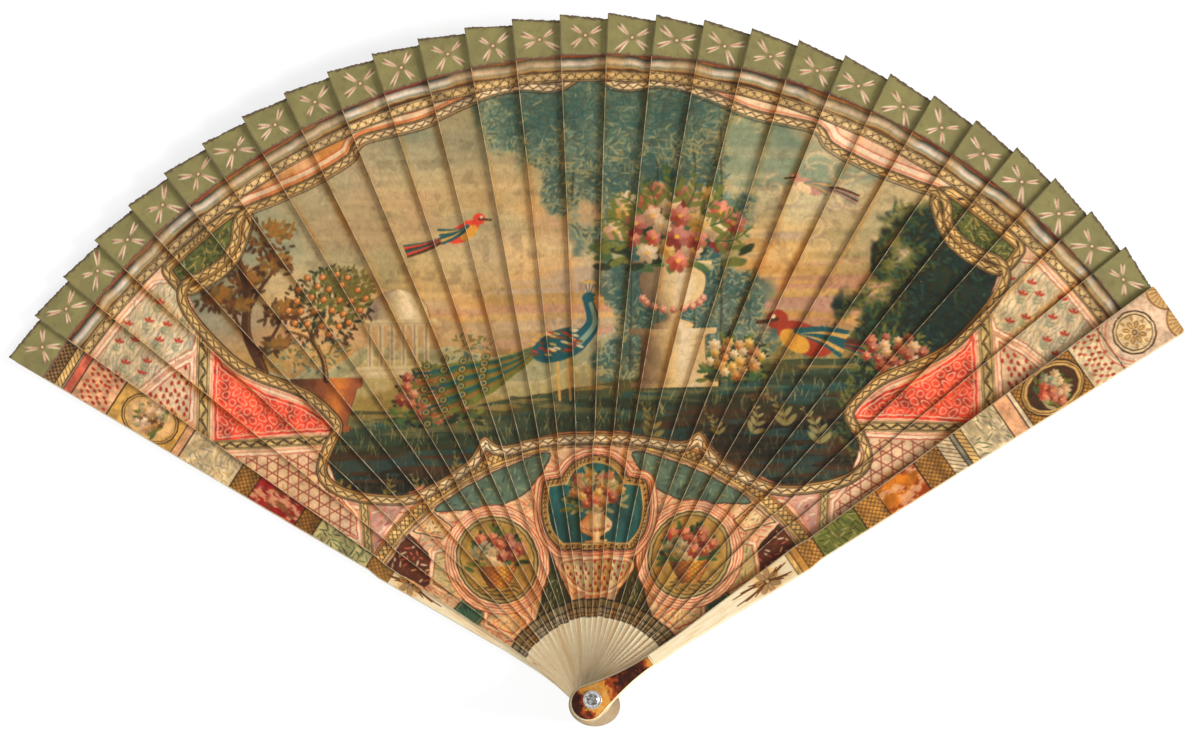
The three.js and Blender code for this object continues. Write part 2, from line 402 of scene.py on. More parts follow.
@dataclass
class Canvas:
    """A painting in millimetres, laid from back to front. It also keeps how far it covers the ivory."""

    left: float
    bottom: float
    right: float
    top: float
    pixel: float
    seed: int = 0
    ground: Array = field(default_factory=IVORY.copy)

    def __post_init__(self) -> None:
        """Stretches the bare canvas."""
        self.rng = np.random.default_rng(self.seed)
        self.x = np.arange(self.left, self.right, self.pixel, dtype=np.float32)
        self.y = np.arange(self.bottom, self.top, self.pixel, dtype=np.float32)
        self.shape = (len(self.y), len(self.x))
        self.rgb = np.tile(self.ground, (*self.shape, 1))
        self.cover = np.zeros(self.shape, np.float32)
        self.gilt = np.zeros(self.shape, np.float32)

    def window(self, low_x: float, low_y: float, high_x: float, high_y: float) -> Window:
        """The rows and columns that hold a stretch of the canvas."""
        spans = ((low_y - self.bottom, high_y - self.bottom), (low_x - self.left, high_x - self.left))
        rows, columns = (slice(max(int(low / self.pixel), 0), max(int(high / self.pixel) + 2, 0))
            for low, high in spans)
        return rows, columns

    def places(self, window: Window = WHOLE) -> tuple[Array, Array]:
        """Places across and up in a window, as a row and a column."""
        return self.x[window[1]][None, :], self.y[window[0]][:, None]

    def around(self, region: Region, margin: float) -> tuple[Window, Array, Array, Array]:
        """The window that holds a region and a margin, its places and their depth in the region."""
        low_x, low_y, high_x, high_y = region.bounds()
        window = self.window(low_x - margin, low_y - margin, high_x + margin, high_y + margin)
        x, y = self.places(window)
        return window, x, y, region.depth(x, y)

    def edge(self, value: Array) -> Array:
        """A mask that is 1 where a distance is positive, with a soft step one pixel wide."""
        return np.clip(value / self.pixel + 0.5, 0, 1)

    def line(self, distance: Array, width: float) -> Array:
        """A mask of a line of that width where a distance is 0."""
        return np.clip((width / 2 - np.abs(distance)) / self.pixel + 0.5, 0, 1)

    def zigzag(self, along: Array, across: Array, period: float, height: float, width: float) -> Array:
        """A mask of a thin wavering line along a band."""
        wave = height * (4 * np.abs((along / period) % 1 - 0.5) - 1)
        return self.line((across - wave) / math.hypot(1, 4 * height / period) * 1.25, width)

    def hatch(self, along: Array, across: Array, spacing: float, degrees: float, width: float) -> Array:
        """A mask of parallel lines at an angle to a band."""
        angle = math.radians(degrees)
        step = (along * math.sin(angle) - across * math.cos(angle)) / spacing
        return self.line((step % 1 - 0.5) * spacing, width)

    def cross_hatch(self, along: Array, across: Array, spacing: float, degrees: float, width: float) -> Array:
        """A mask of two sets of parallel lines that cross."""
        return np.maximum(self.hatch(along, across, spacing, degrees, width),
            self.hatch(along, across, spacing, -degrees, width))

    def triangles(self, along: Array, across: Array, period: float, half: float) -> Array:
        """A mask of crossed strokes that leave triangles, with a small ring in each second one."""
        strokes = np.maximum(self.zigzag(along, across, period, half, 0.34),
            self.zigzag(along + period * 0.12, across, period, half * 0.7, 0.34))
        local = ((along / period) % 1 - 0.5) * period
        ring = self.line(np.hypot(local, across + half * 0.25) - half * 0.24, 0.22)
        return np.maximum(strokes, ring)

    def scales(self, x: Array, y: Array, size: float) -> Array:
        """A mask of rings round the centres of a wavering honeycomb."""
        x, y = x + 0.5 * np.sin(y * 1.1), y + 0.5 * np.sin(x * 0.9)
        height = size * math.sqrt(3)
        distances = [np.hypot(((x / size + shift) % 1 - 0.5) * size,
            ((y / height + shift) % 1 - 0.5) * height) for shift in (0.0, 0.5)]
        return self.line(np.minimum(*distances) - 1.05, 0.34)

    def wash(self, mask: Array, colour: Array, window: Window = WHOLE, gilt: float = 0.0) -> None:
        """Lays a colour where a mask says.

        Args:
            mask: Opacity of the paint, rows by columns of the window.
            colour: One colour, or a colour for each place.
            window: Part of the canvas that the mask covers.
            gilt: How metallic the paint is.
        """
        area = self.rgb[window]
        area += (colour - area) * mask[..., None]
        self.cover[window] += (1 - self.cover[window]) * mask
        self.gilt[window] += (gilt - self.gilt[window]) * mask

    def rules(self, distance: Array, lines: Sequence[Point], window: Window = WHOLE,
            mask: Array | float = 1.0, ink: Array = BLACK) -> None:
        """Rules lines, each at its place on a distance and with its width."""
        for place, width in lines:
            self.wash(self.line(distance - place, width) * mask, ink, window)

    def dab(self, x: float, y: float, length: float, width: float, angle: float, colour: Array,
            opacity: float = 0.9) -> None:
        """One touch of the brush, an oval turned by an angle in radians."""
        reach = length / 2 + self.pixel
        window = self.window(x - reach, y - reach, x + reach, y + reach)
        across, up = self.places(window)
        c, s = math.cos(angle), math.sin(angle)
        along, beside = (across - x) * c + (up - y) * s, (up - y) * c - (across - x) * s
        crisp = max(1.6, min(length, width) / 1.2)
        mask = np.clip((1 - (2 * along / length) ** 2 - (2 * beside / width) ** 2) * crisp + 0.24, 0, 1)
        area = self.rgb[window]
        area += (colour - area) * (mask * opacity)[..., None]

    def stroke(self, points: Sequence[Point], width: float, colour: Array, opacity: float = 1.0,
            taper: float = 0.0, gilt: float = 0.0) -> None:
        """A line of the brush.

        Args:
            points: The line's points.
            width: Width at its start.
            colour: Colour of the line.
            opacity: How strongly it covers.
            taper: Share of the width that is lost by its end.
            gilt: How metallic the paint is.
        """
        for index, (a, b) in enumerate(zip(points, points[1:])):
            radius = width / 2 * (1 - taper * (index + 0.5) / (len(points) - 1))
            reach = radius + self.pixel
            window = self.window(min(a[0], b[0]) - reach, min(a[1], b[1]) - reach, max(a[0], b[0]) + reach,
                max(a[1], b[1]) + reach)
            distance, _ = segment_distance(*self.places(window), a, b)
            mask = self.edge(radius - distance) * opacity * min(1.0, 2 * radius / self.pixel)
            self.wash(mask, colour, window, gilt)

    def varnish(self, seed: int) -> None:
        """Lays a yellowed varnish, uneven and darker in the hollows of the brushwork."""
        amber = cloudy(self.shape, (200, 200), seed, 3)[..., None]
        self.rgb *= np.array([0.975, 0.885, 0.79], np.float32) - amber * np.array([0.05, 0.08, 0.14],
            np.float32)
        self.rgb *= (0.96 + 0.08 * cloudy(self.shape, (6, 6), seed + 1, 2))[..., None]
        dirt = ease((cloudy(self.shape, (24, 24), seed + 2, 5) - 0.68) * 5)
        self.rgb *= 1 - 0.12 * dirt[..., None]
        np.clip(self.rgb, 0, 1, self.rgb)

    def sample(self, x: Array, y: Array) -> tuple[Array, Array, Array]:
        """The colour, the cover and the gilt under places across and up."""
        column = np.clip((x - self.left) / self.pixel, 0, self.shape[1] - 1.001)
        row = np.clip((y - self.bottom) / self.pixel, 0, self.shape[0] - 1.001)
        c, r = column.astype(int), row.astype(int)
        fc, fr = (column - c)[:, None], (row - r)[:, None]
        results = []
        for layer in (self.rgb, self.cover[..., None], self.gilt[..., None]):
            low = layer[r, c] * (1 - fc) + layer[r, c + 1] * fc
            high = layer[r + 1, c] * (1 - fc) + layer[r + 1, c + 1] * fc
            results.append(low * (1 - fr) + high * fr)
        return results[0], results[1][:, 0], results[2][:, 0]


class Ornament(Canvas):
    """A canvas with panels, borders and small motifs."""

    def panel(self, region: Region, ground: Array, trims: Sequence[Trim] = (),
            pattern: Callable[[Array, Array, Array], Array] | None = None, ink: Array = BLACK,
            mottle: float = 0.12) -> None:
        """Fills a region and runs lines inside its edge.

        Args:
            region: The region.
            ground: Colour under the pattern.
            trims: Lines inside the edge.
            pattern: Makes a mask from places across and up and from the depth inside the region.
            ink: Colour of the pattern.
            mottle: How uneven the ground is.
        """
        window, x, y, depth = self.around(region, 1)
        depth = depth + 0.12 * np.sin(x * 1.7) * np.cos(y * 1.3)
        inside = self.edge(depth)
        seed = int(self.rng.integers(1e6))
        uneven = (cloudy(inside.shape, (14, 14), seed) - 0.5)[..., None] * 2 * mottle
        self.wash(inside, np.clip(ground * (1 + uneven), 0, 1), window)
        if pattern is not None:
            mask = pattern(x, y, depth) * inside * (0.7 + 0.3 * cloudy(inside.shape, (9, 9), seed + 1))
            self.wash(mask, ink, window)
        for trim in trims:
            self.wash(self.line(depth - trim.inset, trim.width) * 0.92, trim.colour, window, trim.gilt)

    def scatter(self, region: Region, spacing: float, margin: float) -> Iterator[Point]:
        """Places spread unevenly over a region, at least margin inside its edge."""
        low_x, low_y, high_x, high_y = region.bounds()
        for row, y in enumerate(np.arange(low_y, high_y, spacing * 0.87)):
            for x in np.arange(low_x + (row % 2) * spacing / 2, high_x, spacing):
                shift = self.rng.uniform(-0.22, 0.22, 2) * spacing
                if region.depth(x + shift[0], y + shift[1]) > margin:
                    yield float(x + shift[0]), float(y + shift[1])

    def seeds(self, region: Region, spacing: float, size: float, colour: Array, lean: float) -> None:
        """Rows of seed-shaped touches with a green stroke beside each."""
        for x, y in self.scatter(region, spacing, 1.5):
            angle = lean + self.rng.uniform(-0.4, 0.4)
            self.dab(x + 0.5, y - 0.5, size * 1.3, size * 0.3, angle + 0.9, SAGE, 0.8)
            self.dab(x, y, size, size * 0.62, angle, blend(colour, CRIMSON, self.rng.random()))

    def strokes(self, region: Region, spacing: float, length: float, colours: Sequence[Array], angle: float,
            loose: float, width: float = 0.45) -> None:
        """Short brush strokes over a region, all near one angle."""
        for x, y in self.scatter(region, spacing, 0.8):
            turn = angle + self.rng.uniform(-loose, loose)
            colour = colours[int(self.rng.integers(len(colours)))]
            self.dab(x, y, length * self.rng.uniform(0.6, 1.2), width, turn, colour, 0.75)

    def patch(self, region: Region, ground: Array, trims: Sequence[Trim], *brush: Any) -> None:
        """A panel, and over it strokes as the rest of the arguments say."""
        self.panel(region, ground, trims)
        self.strokes(region, *brush)

    def sprig(self, x: float, y: float, size: float, angle: float, stem: Array, leaf: Array) -> None:
        """A curved stem with pairs of leaves."""
        for share in (0, 0.25, 0.5, 0.75, 1):
            turn = angle + 0.5 * (share - 0.5)
            knot = toward(x, y, size * share, turn)
            reach = size * 0.17 * (1.25 - share)
            for tilt in (turn - 0.8, turn + 0.8):
                self.dab(*toward(*knot, reach, tilt), 2.1 * reach, reach * 0.8, tilt, leaf)
        middle, end = toward(x, y, size / 2, angle - 0.05), toward(x, y, size, angle + 0.25)
        self.stroke(smooth_curve([(x, y), middle, end]), size * 0.05, stem, 0.9, 0.5)

    def flower(self, x: float, y: float, size: float, petal: Array, heart: Array = YELLOW) -> None:
        """An open flower: a ring of petals, shaded at the left and lit at the right, round a heart."""
        start = self.rng.uniform(0, 6.28)
        for ring, count, reach in ((0, 7, 0.34), (1, 6, 0.22), (2, 4, 0.1)):
            for index in range(count):
                angle = start + ring * 0.5 + index * 2 * math.pi / count
                light = 0.5 + 0.5 * math.cos(angle - 0.9)
                tone = blend(blend(petal, UMBER, 0.4), blend(petal, WHITE, 0.5), light)
                self.dab(*toward(x, y, size * reach, angle), size * (0.44 - 0.08 * ring),
                    size * (0.34 - 0.06 * ring), angle, tone)
        self.dab(x, y, size * 0.22, size * 0.2, 0, heart)

    def bouquet(self, x: float, y: float, width: float, height: float, count: int, petals: Sequence[Array],
            size: float, leaves: Sequence[Array]) -> None:
        """A dome of flowers and leaves.

        Args:
            x: Middle of its foot.
            y: Height of its foot.
            width: Width of the dome.
            height: Height of the dome.
            count: Number of flowers.
            petals: Colours of the flowers.
            size: Size of a flower.
            leaves: Colours of the leaves, dark to light.
        """
        for _ in range(count * 5):
            angle, reach = self.rng.uniform(0, math.pi), math.sqrt(self.rng.random())
            px = x + width * 0.56 * reach * math.cos(angle)
            py = y + height * 1.06 * reach * math.sin(angle)
            colour = leaves[min(int(self.rng.random() * len(leaves)), len(leaves) - 1)]
            turn = math.atan2(py - y, px - x) + self.rng.uniform(-0.6, 0.6)
            self.dab(px, py, size * 0.95, size * 0.36, turn, colour)
        golden = math.pi * (3 - math.sqrt(5))
        for index in range(count):
            reach = math.sqrt((count - index - 0.3) / count)
            px = x + width * 0.45 * reach * math.cos(index * golden)
            py = y + height * (0.5 + 0.42 * reach * math.sin(index * golden))
            petal = petals[index % len(petals)]
            self.flower(px, py, size * self.rng.uniform(0.75, 1.15), petal)

    def vessel(self, x: float, y: float, profile: Sequence[Point], body: Array, light: Array,
            dark: Array) -> None:
        """A turned vessel seen from the side, lit from the right.

        Args:
            x: Middle of the vessel.
            y: Height of its foot.
            profile: Heights above the foot and half widths there.
            body: Colour at the middle.
            light: Colour where the light falls.
            dark: Colour at the shaded side.
        """
        heights, halves = zip(*smooth_curve(profile, steps=6))
        reach = max(halves) + 1
        window = self.window(x - reach, y, x + reach, y + heights[-1])
        across, up = self.places(window)
        half = np.interp(up - y, heights, halves)
        share = (across - x) / half
        mask = self.edge(half - np.abs(across - x)) * (up >= y) * (up <= y + heights[-1])
        glow = np.exp(-((share - 0.35) / 0.3) ** 2)[..., None]
        shadow = ease(-share * 0.9 + 0.1)[..., None]
        self.wash(mask, blend(blend(body, light, glow), dark, shadow), window)
        self.wash(self.line(np.abs(across - x) - half, 0.3) * mask, UMBER, window)


@dataclass
class Garden(Ornament):
    """A made-up garden view: an urn of flowers, birds, shrubs and tall trees under a wide sky."""

    horizon: float = 104.0

    def ground_at(self, x: float) -> float:
        """Height of the lawn's far edge."""
        return 94 + 0.07 * x + 2.5 * math.sin(x / 27)

    def sky(self) -> None:
        """Honey and peach low down, grey green above, with long clouds."""
        x, up = self.places()
        right = x / 130
        height = (up - self.horizon) / 82 + 0.5 * (cloudy(self.shape, (120, 460), 11, 3) - 0.5) - 0.08 * right
        stops = ((-0.15, blend(STRAW, OLIVE, 0.35)), (0.1, blend(PEACH, STRAW, 0.4)),
            (0.35, blend(CREAM, STRAW, 0.6)), (0.6, blend(SAGE, PALE_TEAL, 0.4)), (0.85, PALE_TEAL),
            (1.2, TEAL))
        self.wash(np.ones(self.shape, np.float32), 0.94 * gradient(height, stops))
        cool = ease((cloudy(self.shape, (150, 240), 18, 4) - 0.36) * 3.5) * ease((up - 112) / 26)
        self.wash(cool * 0.85, blend(PALE_TEAL, HAZE, 0.25))
        self.wash(ease((-x - 88) / 22) * ease((up - 100) / 18) * 0.75, blend(SLATE, TEAL, 0.5))
        glow = ease((cloudy(self.shape, (170, 260), 12, 3) - 0.5) * 4)
        self.wash(glow * 0.45, blend(PEACH, CREAM, 0.45))
        for seed, size, level, reach, colour, strength in ((13, (44, 420), 134, 30, CREAM, 0.55),
                (14, (26, 300), 124, 24, LILAC, 0.85), (15, (16, 260), 114, 14, MAUVE, 0.7),
                (16, (60, 130), 158, 26, blend(LILAC, PEACH, 0.4), 0.8)):
            bank = ease((cloudy(self.shape, size, seed, 3) - 0.5) * 4)
            bank = bank * ease(1.3 - np.abs(up - level - 8 * right) / reach)
            self.wash(bank * strength * ease(0.75 + 0.5 * right), colour)
        self.rgb *= 0.97 + 0.06 * cloudy(self.shape, (6, 60), 17, 2)[..., None]

    def billows(self) -> None:
        """Curled clouds at the upper right."""
        for _ in range(30):
            x, y = self.rng.uniform(48, 104), self.rng.uniform(134, 176)
            start, size, way = self.rng.uniform(0, 6.28), self.rng.uniform(4, 8.5), self.rng.choice((-1, 1))
            for ring, tone in enumerate((blend(LILAC, SLATE, 0.4), blend(LILAC, STRAW, 0.4), CREAM)):
                curl = []
                for turn in np.linspace(0, 4.4, 14):
                    reach = (size - 0.7 * ring) * (1 - turn / 8)
                    curl += arc(x, y, reach, 0.8 * reach, (start + way * turn,))
                self.stroke(curl, 0.9, tone, 0.3, 0.6)

    def hills(self) -> None:
        """Three ranges, bluer and paler with distance."""
        x, up = self.places()
        for index, (paint, rise) in enumerate(((PALE_TEAL, 9), (SAGE, 4.5), (OLIVE, 1))):
            profile = cloudy((1, self.shape[1]), (1, 190 - 40 * index), 21 + index)
            depth = self.horizon - 8 + rise + 13 * (profile - 0.35) + 0.07 * x - up
            self.wash(self.edge(depth) * 0.8, blend(paint, STRAW, 0.25))
            self.wash(np.exp(-(depth / 1.2) ** 2) * (depth > 0) * 0.4, PALE)

    def pavilion(self, x: float, y: float, size: float) -> None:
        """A small round garden temple: steps, columns and a dome."""
        stone, shade = blend(CREAM, PALE_TEAL, 0.3), blend(SLATE, MAUVE, 0.4)
        dome = ((0, 0.42), (0.2, 0.36), (0.34, 0.2), (0.4, 0.3 / size))
        self.vessel(x, y + size * 0.62, scaled(dome, size), stone, WHITE, shade)
        for share in np.linspace(-1, 1, 6):
            column = [(x + share * size * 0.36, y), (x + share * size * 0.36, y + size * 0.6)]
            self.stroke(column, size * 0.07, stone)
            self.stroke(shifted(column, -0.2), size * 0.025, shade, 0.8)
        for height, half in ((0.6, 0.46), (0.02, 0.5), (-0.05, 0.56)):
            for level, width, tone, opacity in ((y + size * height, size * 0.07, stone, 1),
                    (y + size * height - 0.4, 0.25, shade, 0.7)):
                self.stroke([(x - size * half, level), (x + size * half, level)], width, tone, opacity)

    def foliage(self, x: float, y: float, width: float, height: float, colours: Sequence[Array], count: int,
            leaf: float) -> None:
        """A clump of leaves, dark behind and below, light at the upper right.

        Args:
            x: Middle of the clump.
            y: Middle height.
            width: Width.
            height: Height.
            colours: From the darkest to the lightest.
            count: Number of touches.
            leaf: Length of a touch.
        """
        for index in range(count):
            layer = index * len(colours) // count
            angle, reach = self.rng.uniform(0, 2 * math.pi), self.rng.random() ** 0.6
            lift, within = 0.12 * layer, 1 - 0.12 * layer
            across = (reach * math.cos(angle) * within + lift) * width / 2
            up = (reach * math.sin(angle) * within + lift) * height / 2
            turn = math.atan2(up, across) + self.rng.uniform(-0.9, 0.9)
            self.dab(x + across, y + up, leaf * self.rng.uniform(0.6, 1.3), leaf * 0.42, turn, colours[layer],
                0.85)

    def thicket(self, region: Region, deep: Array, leaves: Sequence[Array], spacing: float, seed: int,
            opacity: float, touch: Sequence[float]) -> None:
        """A mass of leaves: a soft body, and touches of the brush over it.

        Args:
            region: Where it is.
            deep: Colour of the body.
            leaves: Colours of the touches, from those deep inside to those at the edge.
            spacing: Distance between touches.
            seed: Seed of its outline.
            opacity: How strongly the body covers.
            touch: Length, width and strength of a touch.
        """
        window, x, y, depth = self.around(region, 9)
        depth = depth + 16 * (cloudy(depth.shape, (60, 60), seed) - 0.5)
        body = ease(depth / 5 + 0.5)
        self.wash(body * opacity, deep, window)
        masses = cloudy(depth.shape, (26, 30), seed + 30)
        self.wash(body * ease((masses - 0.52) * 7) * 0.55 * opacity, leaves[0], window)
        self.wash(body * ease((0.45 - masses) * 7) * 0.3 * opacity, leaves[-2], window)
        for px, py in self.scatter(region, spacing, -4):
            row, column = int((py - y[0, 0]) / self.pixel), int((px - x[0, 0]) / self.pixel)
            if not (0 <= row < depth.shape[0] and 0 <= column < depth.shape[1]) or depth[row, column] < -2:
                continue
            edge = math.exp(-max(depth[row, column], 0) / 9)
            index = int(np.clip(self.rng.normal(edge, 0.3), 0, 0.99) * len(leaves))
            self.dab(px, py, touch[0] * self.rng.uniform(0.6, 1.4), touch[1], self.rng.uniform(-0.4, math.pi),
                leaves[index], touch[2])

    def branch(self, x: float, y: float, angle: float, length: float, width: float, light: Array,
            depth: int) -> None:
        """A bough that forks."""
        bend = self.rng.uniform(-0.35, 0.35)
        end = toward(x, y, length, angle + bend)
        path = smooth_curve([(x, y), toward(x, y, length * 0.5, angle + bend * 0.4), end], steps=5)
        self.stroke(path, width, UMBER, 1, 0.35)
        self.stroke(shifted(path, width * 0.18), width * 0.3, light, 0.55, 0.4)
        for turn in (-0.55, 0.1, 0.6) if depth else ():
            turn += angle + bend + self.rng.uniform(-0.15, 0.15)
            self.branch(*end, turn, length * 0.66, width * 0.55, light, depth - 1)

    def old_tree(self, x: float) -> None:
        """A gnarled brown tree at the left, thick with curled leaves."""
        leaves, crown = (UMBER, UMBER, BROWN, blend(BROWN, OLIVE, 0.6), DARK_GOLD), self.horizon - 10
        for shift, up, width, height in ((-11, 52, 17, 13), (2, 46, 19, 13), (-4, 33, 15, 11), (7, 24, 13, 8),
                (-13, 28, 12, 9)):
            self.foliage(x + shift, crown + up, width, height, leaves, 120, 2.6)
        bole = smooth_curve([(x + 6, 84), (x + 2, 100), (x - 3, 112), (x - 3, 126), (x - 8, 142)])
        self.stroke(bole, 3.4, UMBER, 1, 0.35)
        self.stroke(shifted(bole, 0.8), 0.8, BROWN, 0.8, 0.4)
        for start, end in (((-3, 118), (5, 134)), ((-1, 108), (-12, 122)), ((0, 104), (9, 116))):
            self.branch(x + start[0], start[1], math.atan2(end[1] - start[1], end[0] - start[0]),
                math.dist(start, end) * 0.8, 1.3, BROWN, 0)
        for shift, up, width, height in ((-8, 46, 15, 10), (4, 38, 13, 9), (-6, 26, 11, 7), (5, 14, 11, 6)):
            self.foliage(x + shift, crown + up, width, height, leaves, 60, 2.6)

    def lawn(self) -> None:
        """Ground that runs from sunlit olive at the far edge to near black at the foot."""
        far = np.array([self.ground_at(float(x)) for x in self.x])
        depth = far - self.y[:, None] + 1.5 * (cloudy(self.shape, (20, 60), 31) - 0.5)
        share = np.clip(depth / 26, 0, 1) + 0.4 * (cloudy(self.shape, (14, 130), 32, 5) - 0.5)
        self.wash(self.edge(depth), gradient(share, ((0, blend(OLIVE, DARK_GREEN, 0.5)),
            (0.18, blend(TEAL, DARK_GREEN, 0.6)), (0.42, DARK_GREEN), (0.65, UMBER), (0.85, DEEP),
            (1, UMBER))))
        pools = ease((cloudy(self.shape, (16, 110), 33) - 0.6) * 6) * self.edge(depth - 4)
        self.wash(pools * 0.5, PEACOCK)
        sun = ease((cloudy(self.shape, (8, 90), 34) - 0.58) * 6) * np.exp(-(depth / 9) ** 2) * (depth > 0)
        self.wash(sun * 0.45, STRAW)

    def grass(self) -> None:
        """Blades of grass, pale at the lawn's edge and sparse in the dark."""
        for _ in range(3800):
            x, depth = self.rng.uniform(-135, 135), self.rng.uniform(0, 1) ** 0.7 * 44
            tone = self.rng.random()
            colour = blend(OLIVE, SAGE, tone) if depth < 12 else blend(DARK_GREEN, SAGE, tone ** 2 * 0.7)
            self.dab(x, self.ground_at(x) - depth, self.rng.uniform(1.8, 4.5), 0.34,
                math.pi / 2 + self.rng.uniform(-0.5, 0.5), colour, 0.55)

    def urn(self, x: float, size: float) -> None:
        """A stone urn of flowers on a pedestal, wreathed at the foot."""
        foot = self.ground_at(x) - 5
        stone = (blend(PALE, STRAW, 0.5), PALE, blend(SLATE, BROWN, 0.55))
        base = ((0, 0.3), (0.03, 0.3), (0.05, 0.24), (0.33, 0.22), (0.36, 0.29), (0.4, 0.3))
        cup = ((0, 0.13), (0.03, 0.14), (0.07, 0.05), (0.12, 0.08), (0.22, 0.2), (0.34, 0.23), (0.4, 0.2),
            (0.43, 0.27), (0.46, 0.27))
        self.vessel(x, foot, scaled(base, size), *stone)
        self.vessel(x, foot + size * 0.4, scaled(cup, size), *stone)
        rim = foot + size * 0.84
        self.bouquet(x, rim - size * 0.04, size * 0.95, size * 0.62, 26,
            (RED, CREAM, CORAL, YELLOW, PINK, CRIMSON), size * 0.15, (DARK_GREEN, GREEN, LEAF, SAGE))
        turns = np.linspace(0.1, math.pi - 0.1, 9)
        for turn, place in zip(turns, arc(x, rim + size * 0.12, size * 0.3, size * 0.3, turns)):
            self.sprig(*place, size * 0.26, turn, GREEN, LEAF)
        swag = arc(x, foot + size * 0.62, size * 0.21, -size * 0.09, np.linspace(0.2, math.pi - 0.2, 9))
        for place in swag:
            self.flower(*place, size * 0.055, ROSE, CREAM)

    def shrub(self, x: float, width: float, height: float, petals: Sequence[Array], count: int) -> None:
        """A flowering bush on the lawn."""
        foot = self.ground_at(x) - 6
        leaves = (DEEP, DARK_GREEN, GREEN, LEAF)
        self.foliage(x, foot + height * 0.45, width, height, leaves, int(width * 7), 2)
        self.bouquet(x, foot + height * 0.05, width * 0.9, height * 0.92, count, petals, 2.6 + width * 0.045,
            leaves[1:])

    def feathers(self, start: Point, end: Point, count: int, spread: float, width: float,
            colours: Sequence[Array]) -> None:
        """A fan of long feathers from one point towards another."""
        dx, dy = end[0] - start[0], end[1] - start[1]
        for index in range(count):
            share = index / max(count - 1, 1) - 0.5
            tip = (end[0] - dy * spread * share, end[1] + dx * spread * share)
            middle = ((start[0] + tip[0]) / 2 - dy * 0.06, (start[1] + tip[1]) / 2 + dx * 0.06)
            feather = smooth_curve([start, middle, tip], steps=4)
            self.stroke(feather, width, colours[index % len(colours)], 0.9, 0.3)

    def peacock(self, x: float, y: float, size: float) -> None:
        """A peacock that stands with its train trailing behind it."""

        def at(across: float, up: float) -> Point:
            """A place on the bird, as shares of its size."""
            return (x + across * size, y + up * size)

        for row, reach in enumerate((1.15, 1, 0.84, 0.66)):
            end = at(-reach, 0.05 * row - 0.34)
            self.feathers(at(-0.12, 0.05), end, 13, 0.42, size * 0.035, (LEAF, PEACOCK, GREEN, DARK_GOLD))
            for share in np.linspace(-0.5, 0.5, 6) + 0.08 * (row % 2):
                place = (end[0] + abs(share) * 2, end[1] + size * reach * 0.42 * share)
                for width, tone in ((0.066, DARK_GREEN), (0.05, YELLOW), (0.034, PEACOCK)):
                    self.dab(*place, size * width * 1.25, size * width, 0.4, tone)
        for leg in (-0.03, 0.06):
            self.stroke([at(leg, 0), at(leg + 0.02, -0.42)], size * 0.022, STRAW)
        self.dab(*at(0, 0.04), size * 0.5, size * 0.26, 0.35, PEACOCK, 1)
        neck = smooth_curve([at(0.14, 0.06), at(0.27, 0.22), at(0.23, 0.42)])
        self.stroke(neck, size * 0.15, PEACOCK, 1, 0.5)
        self.stroke(shifted(neck, size * 0.015), size * 0.05, PALE_TEAL, 0.7, 0.4)
        head = at(0.24, 0.44)
        self.dab(*head, size * 0.12, size * 0.09, 0.2, PEACOCK, 1)
        self.stroke([at(0.29, 0.44), at(0.36, 0.44 - 0.5 / size)], size * 0.03, STRAW, 1, 0.7)
        for turn in (1.2, 1.5, 1.8):
            tip = toward(*head, size * 0.13, turn)
            self.stroke([head, tip], 0.25, PEACOCK)
            self.dab(*tip, size * 0.03, size * 0.03, 0, YELLOW)
        for index in range(46):
            share = self.rng.random()
            place = at(0.18 - 0.42 * share, 0.08 - 0.06 * share + self.rng.uniform(-0.08, 0.1))
            tone = (STRAW, RED, BROWN, CREAM)[index % 4]
            self.dab(*place, size * 0.07, size * 0.022, 2.9, tone, 0.85)

    def orange_tree(self, x: float, size: float) -> None:
        """A clipped orange tree in a terracotta pot."""
        foot = self.ground_at(x) - 6
        pot = ((0, 0.13), (0.03, 0.14), (0.05, 0.12), (0.2, 0.17), (0.24, 0.18), (0.26, 0.21), (0.31, 0.21))
        self.vessel(x, foot, scaled(pot, size), blend(ROSE, BROWN, 0.6), ORANGE, UMBER)
        self.branch(x, foot + 0.3 * size, math.pi / 2, 0.24 * size, size * 0.035, STRAW, 1)
        leaves = (UMBER, DARK_GREEN, blend(GREEN, BROWN, 0.4), LEAF, OLIVE)
        self.foliage(x, foot + 0.72 * size, 0.56 * size, 0.48 * size, leaves, 520, 2.2)
        for px, py in self.scatter(Oval(x, foot + 0.74 * size, 0.26 * size, 0.22 * size), 4.2, 1):
            for shift, length, width, tone, opacity in ((0, 2.3, 2.2, BROWN, 1), (0.15, 1.8, 1.7, ORANGE, 1),
                    (0.4, 0.6, 0.6, CREAM, 0.9)):
                self.dab(px + shift, py + shift, length, width, 0, tone, opacity)

    def songbird(self, x: float, y: float, size: float, facing: int, body: Array, wing: Array,
            breast: Array) -> None:
        """A perched or low-flying bird with a long tail."""

        def at(across: float, up: float) -> Point:
            """A place on the bird, as shares of its size."""
            return (x + facing * size * across, y + size * up)

        self.feathers(at(-0.15, 0), at(-0.95, -0.3), 6, 0.22, size * 0.06, (wing, body, UMBER))
        self.dab(x, y, size * 0.6, size * 0.3, 0.45 * facing, body, 1)
        self.dab(*at(0.1, -0.02), size * 0.34, size * 0.2, 0.6 * facing, breast)
        self.dab(*at(0.27, 0.2), size * 0.22, size * 0.2, 0, body, 1)
        self.stroke([at(0.27, 0.2), at(0.47, 0.18)], size * 0.06, UMBER, 1, 0.8)
        self.dab(*at(0.31, 0.23), size * 0.05, size * 0.05, 0, WHITE, 1)
        self.feathers(at(0.08, 0.08), at(-0.38, -0.06), 6, 0.5, size * 0.06, (wing, STRAW, wing))

